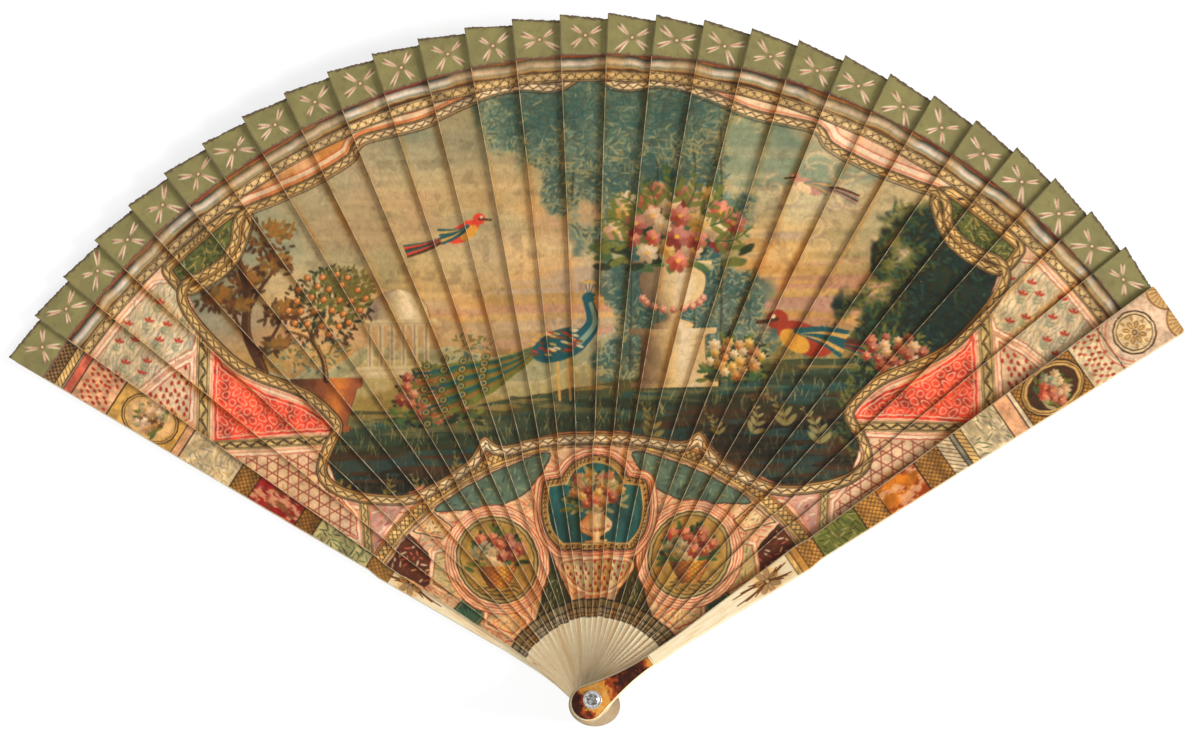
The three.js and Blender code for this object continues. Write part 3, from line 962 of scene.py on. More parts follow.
    def woods(self) -> None:
        """The blue green trees behind the urn, with pale trunks."""
        teal = blend(blend(TEAL, SLATE, 0.3), DARK_GREEN, 0.2)
        wood = Polygon(smooth_curve([(-30, 192), (-31, 176), (-23, 160), (-16, 152), (-2, 143), (6, 126),
            (8, 98), (46, 98), (48, 116), (43, 132), (46, 150), (46, 166), (54, 178), (57, 192)], True, 5))
        fronds = (blend(teal, PEACOCK, 0.6), blend(teal, DARK_GREEN, 0.3), teal, blend(teal, PALE_TEAL, 0.4),
            PALE_TEAL, SAGE)
        self.thicket(wood, teal, fronds, 1.2, 61, 0.95, (2.3, 0.7, 0.75))
        self.thicket(Oval(24, 126, 16, 28), blend(PEACOCK, DARK_GREEN, 0.5), fronds, 1.5, 65, 0.6,
            (2.3, 0.7, 0.6))
        for x, foot, width in ((-16, 160, 0.8), (-5, 150, 1.1), (12, 98, 0.9), (20, 98, 1.3), (31, 98, 0.8),
                (39, 98, 1.2)):
            trunk = smooth_curve([(x, foot), (x + 1.2, (foot + 190) / 2), (x + 0.4, 190)])
            self.stroke(trunk, width, blend(DARK_GREEN, UMBER, 0.3), 0.5, 0.6)
            self.stroke(shifted(trunk, width * 0.3), width * 0.3, PALE_TEAL, 0.35, 0.6)
        self.thicket(Oval(10, 176, 42, 15), blend(TEAL, PALE_TEAL, 0.35), fronds, 1.3, 62, 0.55,
            (2.8, 0.6, 0.7))

    def paint_garden(self) -> None:
        """Lays the whole view from the sky to the nearest flowers."""
        self.sky()
        self.billows()
        self.hills()
        self.pavilion(-58, self.horizon - 4, 24)
        for x in (-92, -80, -38, 46, 60, 70):
            self.foliage(x, self.horizon + 1, 17, 12, (TEAL, SAGE, OLIVE), 60, 1.8)
        self.woods()
        self.old_tree(-101)
        self.lawn()
        grove = Polygon(smooth_curve([(140, 60), (74, 74), (79, 98), (77, 112), (88, 124), (92, 140),
            (103, 151), (118, 158), (150, 150)], True, 6))
        self.thicket(grove, DEEP, (blend(DEEP, PEACOCK, 0.4), DARK_GREEN, blend(GREEN, PEACOCK, 0.5),
            blend(DARK_GREEN, UMBER, 0.4), GREEN, LEAF), 1.4, 63, 0.97, (2.6, 1.1, 0.55))
        self.grass()
        self.shrub(-104, 26, 17, (CREAM, YELLOW, PINK), 22)
        self.orange_tree(-80, 52)
        self.shrub(-47, 28, 20, (RED, CRIMSON, ROSE), 26)
        self.peacock(-9, self.ground_at(-9) + 12, 36)
        self.urn(25, 44)
        self.shrub(43, 20, 15, (YELLOW, CREAM, ORANGE), 20)
        self.songbird(64, self.ground_at(64) + 6, 30, -1, blend(RED, BROWN, 0.3), PEACOCK, YELLOW)
        self.shrub(90, 22, 15, (CRIMSON, RED, PINK), 18)
        self.songbird(-38, 141, 18, 1, CORAL, PEACOCK, YELLOW)
        self.songbird(66, 152, 15, -1, MAUVE, SLATE, CREAM)
        for x in np.linspace(-112, 118, 24):
            y = self.ground_at(x) - self.rng.uniform(18, 32)
            self.sprig(x, y, self.rng.uniform(7, 12), math.pi / 2 + self.rng.uniform(-0.4, 0.4), OLIVE,
                blend(SAGE, OLIVE, self.rng.random()))


@dataclass
class SpreadPainting(Garden):
    """The painting across the open sticks, in millimetres from the rivet."""

    reserve_half: tuple[Point, ...] = ((0, 186.4), (3, 182.4), (7.3, 183.9), (11.3, 182.2), (15.8, 179.6),
        (19.6, 180.4), (22, 181), (23.6, 177.8), (28, 176.6), (32.5, 178.4), (35.4, 179.9), (37.2, 174.7),
        (39.5, 172.6), (41.9, 173.3), (43.7, 175), (44.8, 173), (45.5, 165), (45.7, 151), (44.9, 142),
        (42.1, 127.5), (41.4, 116), (42.4, 111.6), (45.9, 109), (48.9, 106), (49.1, 99.7), (46.5, 91.5),
        (41.5, 83.9), (34.8, 81.2), (27.1, 81.5), (22.3, 85.6), (19.6, 81.4), (11.4, 80))

    def reserve(self) -> Polygon:
        """The outline of the garden view."""
        left = [polar(-turn, radius) for turn, radius in self.reserve_half]
        return Polygon(smooth_curve([*left, (0, 79.6), *((-x, y) for x, y in left[:0:-1])], True, 6))

    def outline_field(self, outline: Polygon, reach: float) -> tuple[Array, Array]:
        """Depth inside an outline everywhere, and the way along it near its edge.

        Args:
            outline: The outline.
            reach: How far from the edge the way along is worked out.

        Returns:
            The depth and the way along, in millimetres.
        """
        coarse = outline.depth(self.x[None, ::4], self.y[::4, None])
        rows, columns = (np.linspace(0, few - 1, many) for few, many in zip(coarse.shape, self.shape))
        row = np.minimum(rows.astype(int), coarse.shape[0] - 2)
        column = np.minimum(columns.astype(int), coarse.shape[1] - 2)
        down, across = (rows - row)[:, None], columns - column
        band = coarse[row] * (1 - down) + coarse[row + 1] * down
        depth = band[:, column] * (1 - across) + band[:, column + 1] * across
        along = np.zeros(self.shape)
        near = np.abs(depth) < reach
        at_row, at_column = np.nonzero(near)
        x, y = self.x[at_column], self.y[at_row]
        best, way = np.full(x.shape, 1e9), np.zeros(x.shape)
        passed = 0.0
        for a, b in outline.stretches():
            length = math.dist(a, b)
            close = np.nonzero((np.abs(x - (a[0] + b[0]) / 2) < reach + length)
                & (np.abs(y - (a[1] + b[1]) / 2) < reach + length))[0]
            distance, share = segment_distance(x[close], y[close], a, b)
            nearer = distance < best[close]
            best[close[nearer]] = distance[nearer]
            way[close[nearer]] = passed + share[nearer] * length
            passed += length
        depth[near] = np.sign(depth[near]) * best
        along[near] = way
        return depth, along

    def contour_band(self, depth: Array, along: Array, window: Window = WHOLE) -> None:
        """The gold band with a zigzag that follows an edge, on the outside of it."""
        out = -depth
        top = ease(1.3 - np.abs(self.places(window)[0]) / 75)[..., None]
        ground = blend(PALE_GOLD, blend(CREAM, WHITE, 0.6), top)
        self.wash(self.edge(out) * self.edge(3.2 - out),
            mottled(ground, cloudy(depth.shape, (20, 20), 41), 0.86, 0.28), window, 0.05)
        self.wash(self.line(out - 0.45, 0.45) * 0.8, GOLD, window, 0.2)
        self.wash(self.zigzag(along, out - 1.7, 3.2, 0.5, 0.4) * self.line(out - 1.7, 1.7), BLACK, window)
        self.rules(out, ((0.05, 0.42), (0.75, 0.3), (2.65, 0.3), (3.15, 0.42)), window, 0.85)

    def straight_band(self, start: Point, end: Point, half: float, scroll: bool) -> None:
        """A gold band between two points, with a scroll or a zigzag along its middle."""
        (low_x, high_x), (low_y, high_y) = (sorted(pair) for pair in zip(start, end))
        window = self.window(low_x - half - 1, low_y - half - 1, high_x + half + 1, high_y + half + 1)
        x, y = self.places(window)
        length = math.dist(start, end)
        ux, uy = (end[0] - start[0]) / length, (end[1] - start[1]) / length
        along = (x - start[0]) * ux + (y - start[1]) * uy
        across = (y - start[1]) * ux - (x - start[0]) * uy
        mask = self.edge(half - np.abs(across)) * self.edge(along) * self.edge(length - along)
        noise = cloudy(mask.shape, (12, 12), int(self.rng.integers(1e6)))
        self.wash(mask, mottled(blend(PALE_GOLD, SAGE, 0.35), noise, 0.82, 0.32), window, 0.15)
        figure = (self.triangles(along, across, half * 2.8, half * 0.55) if scroll
            else self.zigzag(along, across, 2.6, 0.4, 0.3))
        self.wash(figure * mask * self.line(across, half * 1.2), BLACK, window)
        self.rules(across, [(half * share, 0.26) for share in (-1, -0.64, 0.64, 1)], window, mask * 0.9)

    def arc_window(self, inner: float, outer: float) -> tuple[Window, Array, Array]:
        """Rows that hold a ring, with the way along it and the radius."""
        window = self.window(-180, max(inner * 0.5, 8), 180, outer + 1)
        x, y = self.places(window)
        return window, np.arctan2(x, y) * (inner + outer) / 2, np.hypot(x, y)

    def rim(self) -> None:
        """The moulding and the gold band that run under the silk."""
        window, along, radius = self.arc_window(185, 206)
        self.wash(self.edge(radius - 185.7), UMBER, window)
        share = (radius - 188.9) / 5.3 + 0.22 * (brushed(along, radius, 51) - 0.5)
        tone = gradient(share, ((0, UMBER), (0.06, BROWN), (0.13, blend(STRAW, LILAC, 0.4)),
            (0.24, blend(PALE_TEAL, SLATE, 0.5)), (0.38, PASTE), (0.52, blend(SILVER, BLUSH, 0.3)),
            (0.64, SLATE), (0.73, blend(PEACOCK, UMBER, 0.5)), (0.79, UMBER),
            (0.86, blend(ORANGE, CRIMSON, 0.3)), (0.93, UMBER)))
        warm = ease(brushed(along, radius * 0.2, 54) * 3 - 1)[..., None] * 0.35
        self.wash(self.edge(radius - 188.9) * self.edge(194.2 - radius),
            blend(tone, blend(STRAW, BROWN, 0.3), warm), window)
        ragged = 193.9 + 1.2 * (brushed(along, radius * 0.1, 52) - 0.5)
        self.wash(self.line(radius - ragged, 0.6), blend(UMBER, CRIMSON, 0.5), window)
        self.wash(self.edge(radius - 185.7) * self.edge(188.9 - radius),
            mottled(blend(PALE_GOLD, PALE, 0.3), cloudy(radius.shape, (16, 40), 53), 0.84, 0.3), window, 0.1)
        across, peak = radius - 187.3, np.abs((along / 5.2) % 1 - 0.5) * 4 - 1
        ring = np.hypot(np.abs((along / 2.6) % 1 - 0.5) * 2.6, across + 0.42 * np.sign(peak))
        figure = np.maximum(self.zigzag(along, across, 5.2, 0.9, 0.3), self.line(ring - 0.1, 0.4))
        self.wash(figure * self.line(across, 2), BLACK, window)
        self.rules(radius, [(offset, 0.26) for offset in (185.75, 186.2, 188.4, 188.85)], window, 0.9)

    def corner_leaves(self, side: int) -> None:
        """The green corner panel above the side panels."""
        curve = smooth_curve([polar(36.1, 182.6), (104.8, 146.6), (107.5, 137.9), (111.4, 132.9),
            (116.5, 129.4), polar(43.9, 176.2), polar(43.9, 182.6)], steps=6)
        region = mirrored(curve + [polar(turn, 182.6) for turn in np.linspace(43, 37, 6)], side)
        self.patch(region, blend(GREEN, OLIVE, 0.45), (), 1.3, 2.3, (DARK_GREEN, DARK_GREEN, LEAF, SAGE,
            STRAW), 0.8, 1.6)
        low_x, low_y, high_x, high_y = region.bounds()
        window, x, y, depth = self.around(region, 4)
        turn = np.arctan2(y - (low_y + high_y) / 2, x - (low_x + high_x) / 2)
        self.contour_band(depth, turn * 11.5, window)

    def side_panels(self, side: int) -> None:
        """The flower, seed, scale and trellis panels at one side, outer to inner."""
        def scaly(x: Array, y: Array, depth: Array) -> Array:
            """Scales, as far as the white line inside the edge."""
            return self.scales(x, y, 3.1) * self.edge(depth - 1.8)

        def latticed(x: Array, y: Array, depth: Array) -> Array:
            """Three sets of crossing lines, as far as the trim inside the edge."""
            lattice = [self.hatch(side * x, y, 3.2, turn, 0.36) for turn in (32, 92, -28)]
            return np.maximum.reduce(lattice) * self.edge(depth - 1.6)

        flowers = mirrored([(157, 98), (151, 106), (142.1, 117.6), (132.4, 128.4), (126.6, 129),
            (122.9, 125.7), (120.9, 121.8), (117.6, 113.3), (119.6, 106.9), (128.4, 102), (134.9, 96.4),
            (146, 88)], side)
        self.patch(flowers, blend(PALE, PINK, 0.15), PINK_TRIM, 1.7, 3.4, (SAGE, PALE_TEAL, SLATE, SAGE), 1.1,
            0.6)
        for x, y in self.scatter(flowers, 6.4, 2.8):
            self.sprig(x - 1.6, y - 2, 4.6, 1, SLATE, blend(PALE_TEAL, SAGE, 0.5))
            for turn in (0.4, 1.3, 2.2):
                self.dab(*toward(x, y, 1.1, turn), 1.7, 0.85, turn, RED, 0.95)
        fan = mirrored([(152, 88), (134.9, 95.2), (128, 101), (120, 105.6), (120.3, 96), (120.8, 86),
            (128, 82)], side)
        self.panel(fan, blend(PALE, PINK, 0.35), PINK_TRIM)
        self.seeds(fan, 2.25, 1.75, RED, 1.4 if side < 0 else 1.7)
        scales = mirrored([(114.2, 108.6), (110.6, 102.4), (106.3, 99), (97.9, 94), (86.9, 90.2), (80.4, 86),
            (76.8, 81.4), (95, 80.8), (114.8, 79.2), (114.9, 92)], side)
        self.panel(scales, CORAL, (Trim(0.3, 0.36, WHITE), Trim(1.5, 0.32, WHITE)), scaly,
            blend(PALE_CORAL, WHITE, 0.45), 0.3)
        self.strokes(scales, 4.2, 1, (RED, PALE_CORAL), 0.9, 1, 0.4)
        trellis = mirrored([(109.6, 76.2), (95, 76.4), (80.3, 77.3), (79.4, 72), (77.2, 66), (73.6, 60.6),
            (70.6, 57.4), (70, 48), (88, 55), (104, 66)], side)
        self.panel(trellis, blend(PALE, PINK, 0.4), PINK_TRIM, latticed, blend(CRIMSON, BROWN, 0.35), 0.1)
        rose = mirrored([(67.2, 61.6), (60.5, 61.3), (54, 63.6), (50.5, 65.2), (56.5, 59.5), (62, 52.5),
            (65.6, 45.4), (66.6, 52)], side)
        self.patch(rose, blend(BLUSH, MAUVE, 0.6), (Trim(0, 0.3, ROSE),), 2.4, 3, (PLUM, WHITE, ROSE, MAUVE),
            0.7, 0.6, 0.6)
        for start, end, half, scroll in (((117, 111.5), (117.9, 79.4), 2, True),
                ((117.9, 78.4), (77.5, 79.4), 1.5, True), ((68.9, 60.5), (67.8, 44.8), 1.5, False)):
            self.straight_band(*mirrored((start, end), side).points, half, scroll)

    def gorge_band(self) -> None:
        """The cross-hatched gold band at the shoulders."""
        window, along, radius = self.arc_window(75, 81)
        self.wash(self.edge(80.2 - radius), blend(PINK, CREAM, 0.35), window)
        self.wash(self.edge(radius - 75.9) * self.edge(80.0 - radius),
            mottled(blend(GOLD, PALE_GOLD, 0.9), cloudy(radius.shape, (10, 30), 61), 0.75, 0.5), window, 0.3)
        self.wash(self.line(radius - 79.85, 0.5), ORANGE, window)
        weave = self.cross_hatch(along, radius, 1.35, 48, 0.24)
        self.wash(weave * self.edge(radius - 77) * self.edge(79.5 - radius), BLACK, window)
        self.rules(radius, ((80.2, 0.2), (79.5, 0.2), (76.9, 0.2), (76, 0.24), (75.4, 0.34)), window)

    def neck_ring(self) -> None:
        """The checkered ring that ends the painting above the bare ivory."""
        window, along, radius = self.arc_window(24, 31)
        ring = self.edge(30.2 - radius)
        self.wash(ring, blend(SLATE, PALE, 0.35), window)
        self.wash(ring * self.edge(radius - 27.7), blend(SLATE, OLIVE, 0.5), window)
        self.wash(self.hatch(along, radius, 1.15, 90, 0.3) * ring, BLACK, window)
        self.wash(cloudy(radius.shape, (6, 6), 62) * ring * 0.4, PALE, window)
        self.rules(radius, ((30.2, 0.5), (27.7, 0.4), (26.2, 0.2), (25, 0.4)), window)
        self.cover[window] *= self.edge(radius - IVORY_END)

    def gorge_panels(self, side: int) -> None:
        """The small panels at one side, between the shoulders and the necks."""

        def region(*corners: Point, steps: int = 0) -> Polygon:
            """A region from its corners' turns and radii, rounded if it has steps."""
            points = [polar(side * turn, radius) for turn, radius in corners]
            return Polygon(smooth_curve(points, True, steps) if steps else points)

        black = Trim(0, 0.3, BLACK)
        self.patch(region((9.5, 74.8), (19, 74.9), (30, 74.9), (39.5, 74.9), (34, 69.5), (27.5, 65.4),
            (20.5, 64.8), (14.5, 67.4), steps=6), blend(TEAL, SLATE, 0.2), (Trim(0.1, 0.35, BLACK),),
            2.6, 2.6, (PALE_TEAL, SAGE, PALE_TEAL, DARK_GREEN), 0.8, 1.3, 0.4)
        self.patch(region((47.5, 75), (50.5, 75), (56.5, 75), (55.5, 62), (51, 60.5), (48, 67)),
            blend(UMBER, CRIMSON, 0.2), (Trim(0, 0.35, BLACK),),
            1.9, 2, (CREAM, WHITE, BROWN, ROSE), 0.5, 1.5, 0.6)
        self.patch(region((40, 74.6), (46.6, 74.8), (42.6, 67), (38.8, 67.5)), CREAM,
            (black, Trim(0.8, 0.25, ROSE)), 1.8, 1.8, (UMBER, SLATE), 1.2, 1.4, 0.4)
        self.patch(region((46.8, 66.5), (54.5, 61), (53.5, 50), (48, 47.5), (43.6, 55), (42.4, 63.5)),
            blend(CREAM, SAGE, 0.4), PINK_TRIM, 2, 2.8, (SAGE, PALE_TEAL, LEAF), 0.6 * side + 0.8, 0.7)
        self.patch(region((13.5, 33), (15.5, 41), (16.3, 49), (21.5, 41), (27.5, 34), (35, 29.6), (14, 29.6),
            steps=5), blend(DARK_GREEN, OLIVE, 0.3), (black,), 1.5, 2.2, (SAGE, DARK_GREEN, LEAF), 1.2, 0.8)
        self.panel(Oval(*polar(side * 54.6, 46.5), 5.6, 4.2, -side * 30), blend(PEACOCK, GREEN, 0.5),
            (black, Trim(0.6, 0.3, SAGE)))
        hub = polar(side * 58, 44)
        for tip in arc(*hub, 8.5, 8.5, np.linspace(0, 2 * math.pi, 26)):
            self.stroke([hub, tip], 0.3, SAGE, 0.35, 0.3)
        self.patch(region((37.5, 30.8), (52, 30.8), (55.5, 40.5), (50, 43), (41, 39)),
            blend(CREAM, PINK, 0.2), PINK_TRIM, 1.9, 2, (SAGE, ROSE, STRAW, SLATE), 0.9, 1)

    def basket_oval(self, side: int) -> None:
        """An oval with a basket of flowers on straw yellow, in three rose lines."""
        x, y, tilt = side * 28.9, 42.6, -side * 32
        self.panel(Oval(x, y, 15.4, 16.6, tilt), blend(WHITE, PINK, 0.3),
            (Trim(0, 0.3, RED), Trim(0.8, 0.28, ROSE), Trim(1.7, 0.3, RED), Trim(2.5, 0.3, RED)))
        self.panel(Oval(x, y, 12, 13.2, tilt), blend(STRAW, OLIVE, 0.32),
            (Trim(0, 0.36, BLACK), Trim(0.6, 0.6, SAGE), Trim(1.1, 0.26, BLACK)))
        self.strokes(Oval(x, y - 8.5, 7.5, 3.2), 1.3, 2.4, (DARK_GREEN, OLIVE, UMBER), 0, 0.7)
        self.strokes(Oval(x, y + 2, 9.5, 8), 2.6, 2, (OLIVE, SAGE, STRAW), 1.2, 1, 0.3)
        self.bouquet(x, y - 2.6, 15.5, 11.5, 13, (RED, CORAL, CREAM, CRIMSON, PALE_TEAL), 3.9,
            (DARK_GREEN, GREEN, LEAF))
        self.vessel(x, y - 8.4, ((0, 2.6), (0.6, 2.8), (3, 4.4), (5.6, 5.6), (6.4, 6)), ORANGE, YELLOW, BROWN)
        window = self.window(x - 6, y - 8.2, x + 6, y - 2.2)
        across, up = self.places(window)
        basket = self.edge(2.8 + (up - y + 8.2) * 0.55 - np.abs(across - x))
        self.wash(self.cross_hatch(across, up, 1.1, 35, 0.22) * basket * 0.6, UMBER, window)
        self.stroke(arc(x, y - 2.2, 5.6, 8.6, np.linspace(0, math.pi, 13)), 0.45, BROWN, 0.75)

    def medallion(self) -> None:
        """The lobed medallion in the middle, with a vase of flowers on peacock blue."""
        x = 1.0
        side = smooth_curve([(x + 13.6, 63.6), (x + 14.2, 57), (x + 12.9, 50.8), (x + 9.8, 46.8)], steps=4)
        lobe = arc(x, 62, 8.6, 8.8, np.linspace(0.24, math.pi - 0.24, 11))
        outline = Polygon([*side[::-1], (x + 9.2, 64.2), *lobe, (x - 9.2, 64.2),
            *((2 * x - px, py) for px, py in side)])
        window, px, py, depth = self.around(outline, 5)
        self.wash(self.edge(depth + 4.6), blend(WHITE, PINK, 0.3), window)
        self.rules(-depth, ((2.7, 0.3), (3.4, 0.3), (4.5, 0.3)), window, ink=RED)
        self.wash(self.edge(depth + 2.2), blend(PALE_GOLD, GOLD, 0.4), window, 0.5)
        wave = self.zigzag(px * 0.9 + py, depth + 1.15, 1.5, 0.3, 0.34)
        self.wash(wave * self.line(depth + 1.15, 1.3), BLACK, window)
        self.rules(-depth, ((2.2, 0.34), (1.8, 0.18), (0.5, 0.18), (0.05, 0.34)), window)
        glow = 0.5 * np.exp(-((px - x - 3) ** 2 + (py - 60) ** 2) / 130)[..., None]
        self.wash(self.edge(depth),
            mottled(blend(PEACOCK, TEAL, glow), cloudy(depth.shape, (30, 12), 71), 0.85, 0.3), window)
        self.vessel(x, 46.9, ((0, 3.4), (0.5, 3.5), (0.9, 1.7), (1.8, 1.5), (3.4, 4.3), (5.6, 5.1),
            (7.4, 3.6), (8.6, 2.6), (9.4, 3.2)), CREAM, WHITE, ORANGE)
        for share in np.linspace(-1, 1, 7):
            self.flower(x + share * 3.9, 51.6 - 0.9 * (1 - share * share), 1.25, ROSE)
        self.bouquet(x, 56, 16.5, 13, 19, (YELLOW, RED, CREAM, CORAL, ORANGE, CRIMSON), 3.7,
            (DARK_GREEN, LEAF, SAGE))
        turns = (0.5, 1, 1.57, 2.15, 2.65)
        for turn, place in zip(turns, arc(x, 61.5, 5, 3, turns)):
            self.sprig(*place, 4.6, turn, LEAF, SAGE)
        self.wash(self.edge(-depth) * self.edge(depth + 0.5), PALE_GOLD, window, 0.5)
        bowl = Polygon(smooth_curve([(x - 11, 41.6), (x, 43), (x + 11, 41.6), (x + 9.4, 36.2),
            (x + 5.4, 32.4), (x, 31.2), (x - 5.4, 32.4), (x - 9.4, 36.2)], True, 5))
        self.panel(bowl, blend(CREAM, SAGE, 0.35), PINK_TRIM)
        self.seeds(bowl, 1.9, 1.35, RED, 1.5)

    def pink_strips(self, depth: Array) -> None:
        """The wash between the rim and the garden, with rose lines that echo the garden's edge."""
        turn = np.degrees(np.arctan2(*self.places())) + 16 * (cloudy(depth.shape, (60, 60), 82) - 0.5)
        tone = gradient(turn, ((-40, blend(PINK, WHITE, 0.4)), (-30, blend(ORANGE, GOLD, 0.4)), (-8, PEACH),
            (12, blend(PINK, WHITE, 0.3))))
        self.wash(self.edge(-depth), mottled(tone, cloudy(depth.shape, (40, 40), 81), 0.85, 0.3))
        for offset, width, paint in ((4, 0.4, ROSE), (4.9, 1, WHITE), (5.6, 0.34, RED)):
            self.wash(self.line(-depth - offset, width) * 0.75, paint)

    def paint(self) -> Canvas:
        """Paints everything, from the garden to the last gold line.

        Returns:
            The finished canvas.
        """
        self.paint_garden()
        depth, along = self.outline_field(self.reserve(), 4.5)
        self.pink_strips(depth)
        for side in (-1, 1):
            self.side_panels(side)
            self.corner_leaves(side)
        self.gorge_band()
        self.contour_band(depth, along)
        self.rim()
        self.panel(Ring(29, 75.4, -62, 62), blend(PALE, PINK, 0.6))
        self.strokes(Ring(30, 74, -60, 60), 1.6, 2.9, (SAGE, ROSE, RED, PALE_TEAL, RED, WHITE),
            0.3, 1.5, 0.36)
        for side in (-1, 1):
            self.gorge_panels(side)
            self.basket_oval(side)
        self.medallion()
        self.neck_ring()
        self.varnish(91)
        return self


class Figure(Enum):
    """What fills a band across a guard."""

    PLAIN = "plain"
    HATCH = "hatch"
    CROSS = "cross"
    SEEDS = "seeds"
    LEAVES = "leaves"
    MARBLE = "marble"


@dataclass(frozen=True)
class Band:
    """A band across a guard, between two distances from the rivet."""

    start: float
    end: float
    figure: Figure
    ground: Array
    inks: tuple[Array, ...] = (BLACK,)


@dataclass(kw_only=True)
class GuardPainting(Ornament):
    """The painting along one guard: bands, an oval of flowers and a gilt spray at the neck."""

    left: float = -9
    bottom: float = 20
    right: float = 9
    top: float = 206
    pixel: float = 0.15
    bands: tuple[Band, ...]
    oval: Oval
    back: Array
    spray: float
    rosette: float | None = None
    petals: tuple[Array, ...] = (RED, CREAM, CORAL, PINK, PALE_TEAL)

    def fill(self, band: Band) -> None:
        """Paints one band."""
        window = self.window(self.left, band.start - 1, self.right, band.end + 1)
        x, y = self.places(window)
        mask = self.edge(y - band.start) * self.edge(band.end - y) * np.ones(x.shape)
        noise = cloudy(mask.shape, (14, 20), self.seed + int(band.start))
        gilt = 0.25 if band.ground is GOLD or band.ground is PALE_GOLD else 0.0
        self.wash(mask, mottled(band.ground, noise, 0.78, 0.4), window, gilt)
        region = Polygon([(-9, band.start), (9, band.start), (9, band.end), (-9, band.end)])
        if band.figure in (Figure.HATCH, Figure.CROSS):
            drawn = self.cross_hatch if band.figure is Figure.CROSS else self.hatch
            self.wash(drawn(x, y, 1.1, 48, 0.22) * mask * 0.75, band.inks[0], window)
        elif band.figure is Figure.MARBLE:
            for index, ink in enumerate(band.inks):
                blot = ease((cloudy(mask.shape, (24, 12), self.seed + index) - 0.55) * 4)
                self.wash(blot * mask * 0.8, ink, window)
        elif band.figure is Figure.SEEDS:
            self.seeds(region, 2, 1.6, band.inks[0], 1.3)
        elif band.figure is Figure.LEAVES:
            self.strokes(region, 1.8, 3.2, band.inks, 0.9, 1.2)
        self.rules(y, ((band.start, 0.36), (band.end, 0.36)), window, np.ones(mask.shape))

    def medal(self) -> None:
        """The oval of flowers in its gold ring."""
        oval = self.oval
        wide = replace(oval, half_width=oval.half_width + 1.3, half_height=oval.half_height + 1.5)
        self.panel(wide, blend(PALE_GOLD, GOLD, 0.35), (Trim(0, 0.4, BLACK), Trim(0.7, 0.24, BLACK)))
        self.panel(oval, self.back, (Trim(0, 0.34, PALE_GOLD, 0.3),))
        self.bouquet(oval.x, oval.y - oval.half_height * 0.55, oval.half_width * 1.55,
            oval.half_height * 1.15, 11, self.petals, 3.4, (GREEN, LEAF, SAGE))

    def gilt_spray(self) -> None:
        """A flower and two leafy stems in brown gilt on the bare ivory."""
        x, up = self.places()
        y = self.spray
        self.wash(np.exp(-((up - y - 2) / 9) ** 2) * np.full(self.shape, 0.45), STRAW)
        self.wash(ease((4.8 - np.hypot(x, up - y)) / 1.2) * 0.8, blend(HONEY, STRAW, 0.5))
        for side in (-1, 1):
            for reach in (-5.5, -8.5, -11.5, 4.5, 6, 7.4):
                tip = (side * 1.9 * (1.3 - abs(reach) / 16), y + reach)
                stem = smooth_curve([(0, y), (side * 0.9, y + reach * 0.5), tip], steps=4)
                self.stroke(stem, 0.7, BROWN, 1, 0.5, 0.2)
        turns = np.linspace(0, 2 * math.pi, 8)[:-1]
        for turn, place in zip(turns, arc(0, y, 2.4, 2.4, turns)):
            for length, width, ink in ((3.6, 2, UMBER), (2.9, 1.3, GOLD), (1.8, 0.3, UMBER)):
                self.dab(*place, length, width, turn, ink, 0.85)
        self.dab(0, y, 1.9, 1.9, 0, UMBER)
        self.dab(0, y, 1.1, 1.1, 0, PALE_GOLD)

    def gold_rosette(self, y: float) -> None:
        """The round pale gold rosette at the tip, with gilt shells in the corners."""
        for side in (-1, 1):
            hub = (side * 5.4, 207.4)
            self.dab(*hub, 12.6, 12.2, 0, BROWN)
            self.dab(*hub, 11.8, 11.4, 0, blend(PALE_GOLD, CREAM, 0.5))
            for tip in arc(*hub, 5.5, 5.3, np.linspace(math.pi, 2 * math.pi, 13)):
                self.stroke([hub, tip], 0.24, BROWN, 0.8)
        for reach, ink in ((8.6, ROSE), (9.6, LILAC), (10.6, ROSE)):
            self.stroke(arc(0, y, reach, reach, np.linspace(-1, 1, 15) - math.pi / 2), 0.4, ink, 0.8)
        self.panel(Oval(0, y, 6.3, 6.3), blend(PALE, CREAM, 0.5), (Trim(0, 0.5, BLACK), Trim(1, 0.32, BLACK)))
        for shift, reach, length in ((0, 2.4, 2.6), (0.5, 4.2, 1.5)):
            turns = (np.arange(8) + shift) * math.pi / 4
            for turn, place in zip(turns, arc(0, y, reach, reach, turns)):
                self.dab(*place, length, length * 0.55, turn, DARK_GOLD, 0.95)
                self.dab(*place, length * 0.7, length * 0.28, turn, PALE_GOLD, 0.95)
        self.dab(0, y, 1.9, 1.9, 0, UMBER)
        self.dab(0, y, 1.2, 1.2, 0, PALE_GOLD)

    def paint(self) -> Canvas:
        """Paints the guard.

        Returns:
            The finished canvas.
        """
        for band in self.bands:
            self.fill(band)
        self.medal()
        self.gilt_spray()
        if self.rosette is not None:
            self.gold_rosette(self.rosette)
        self.varnish(self.seed + 60)
        return self


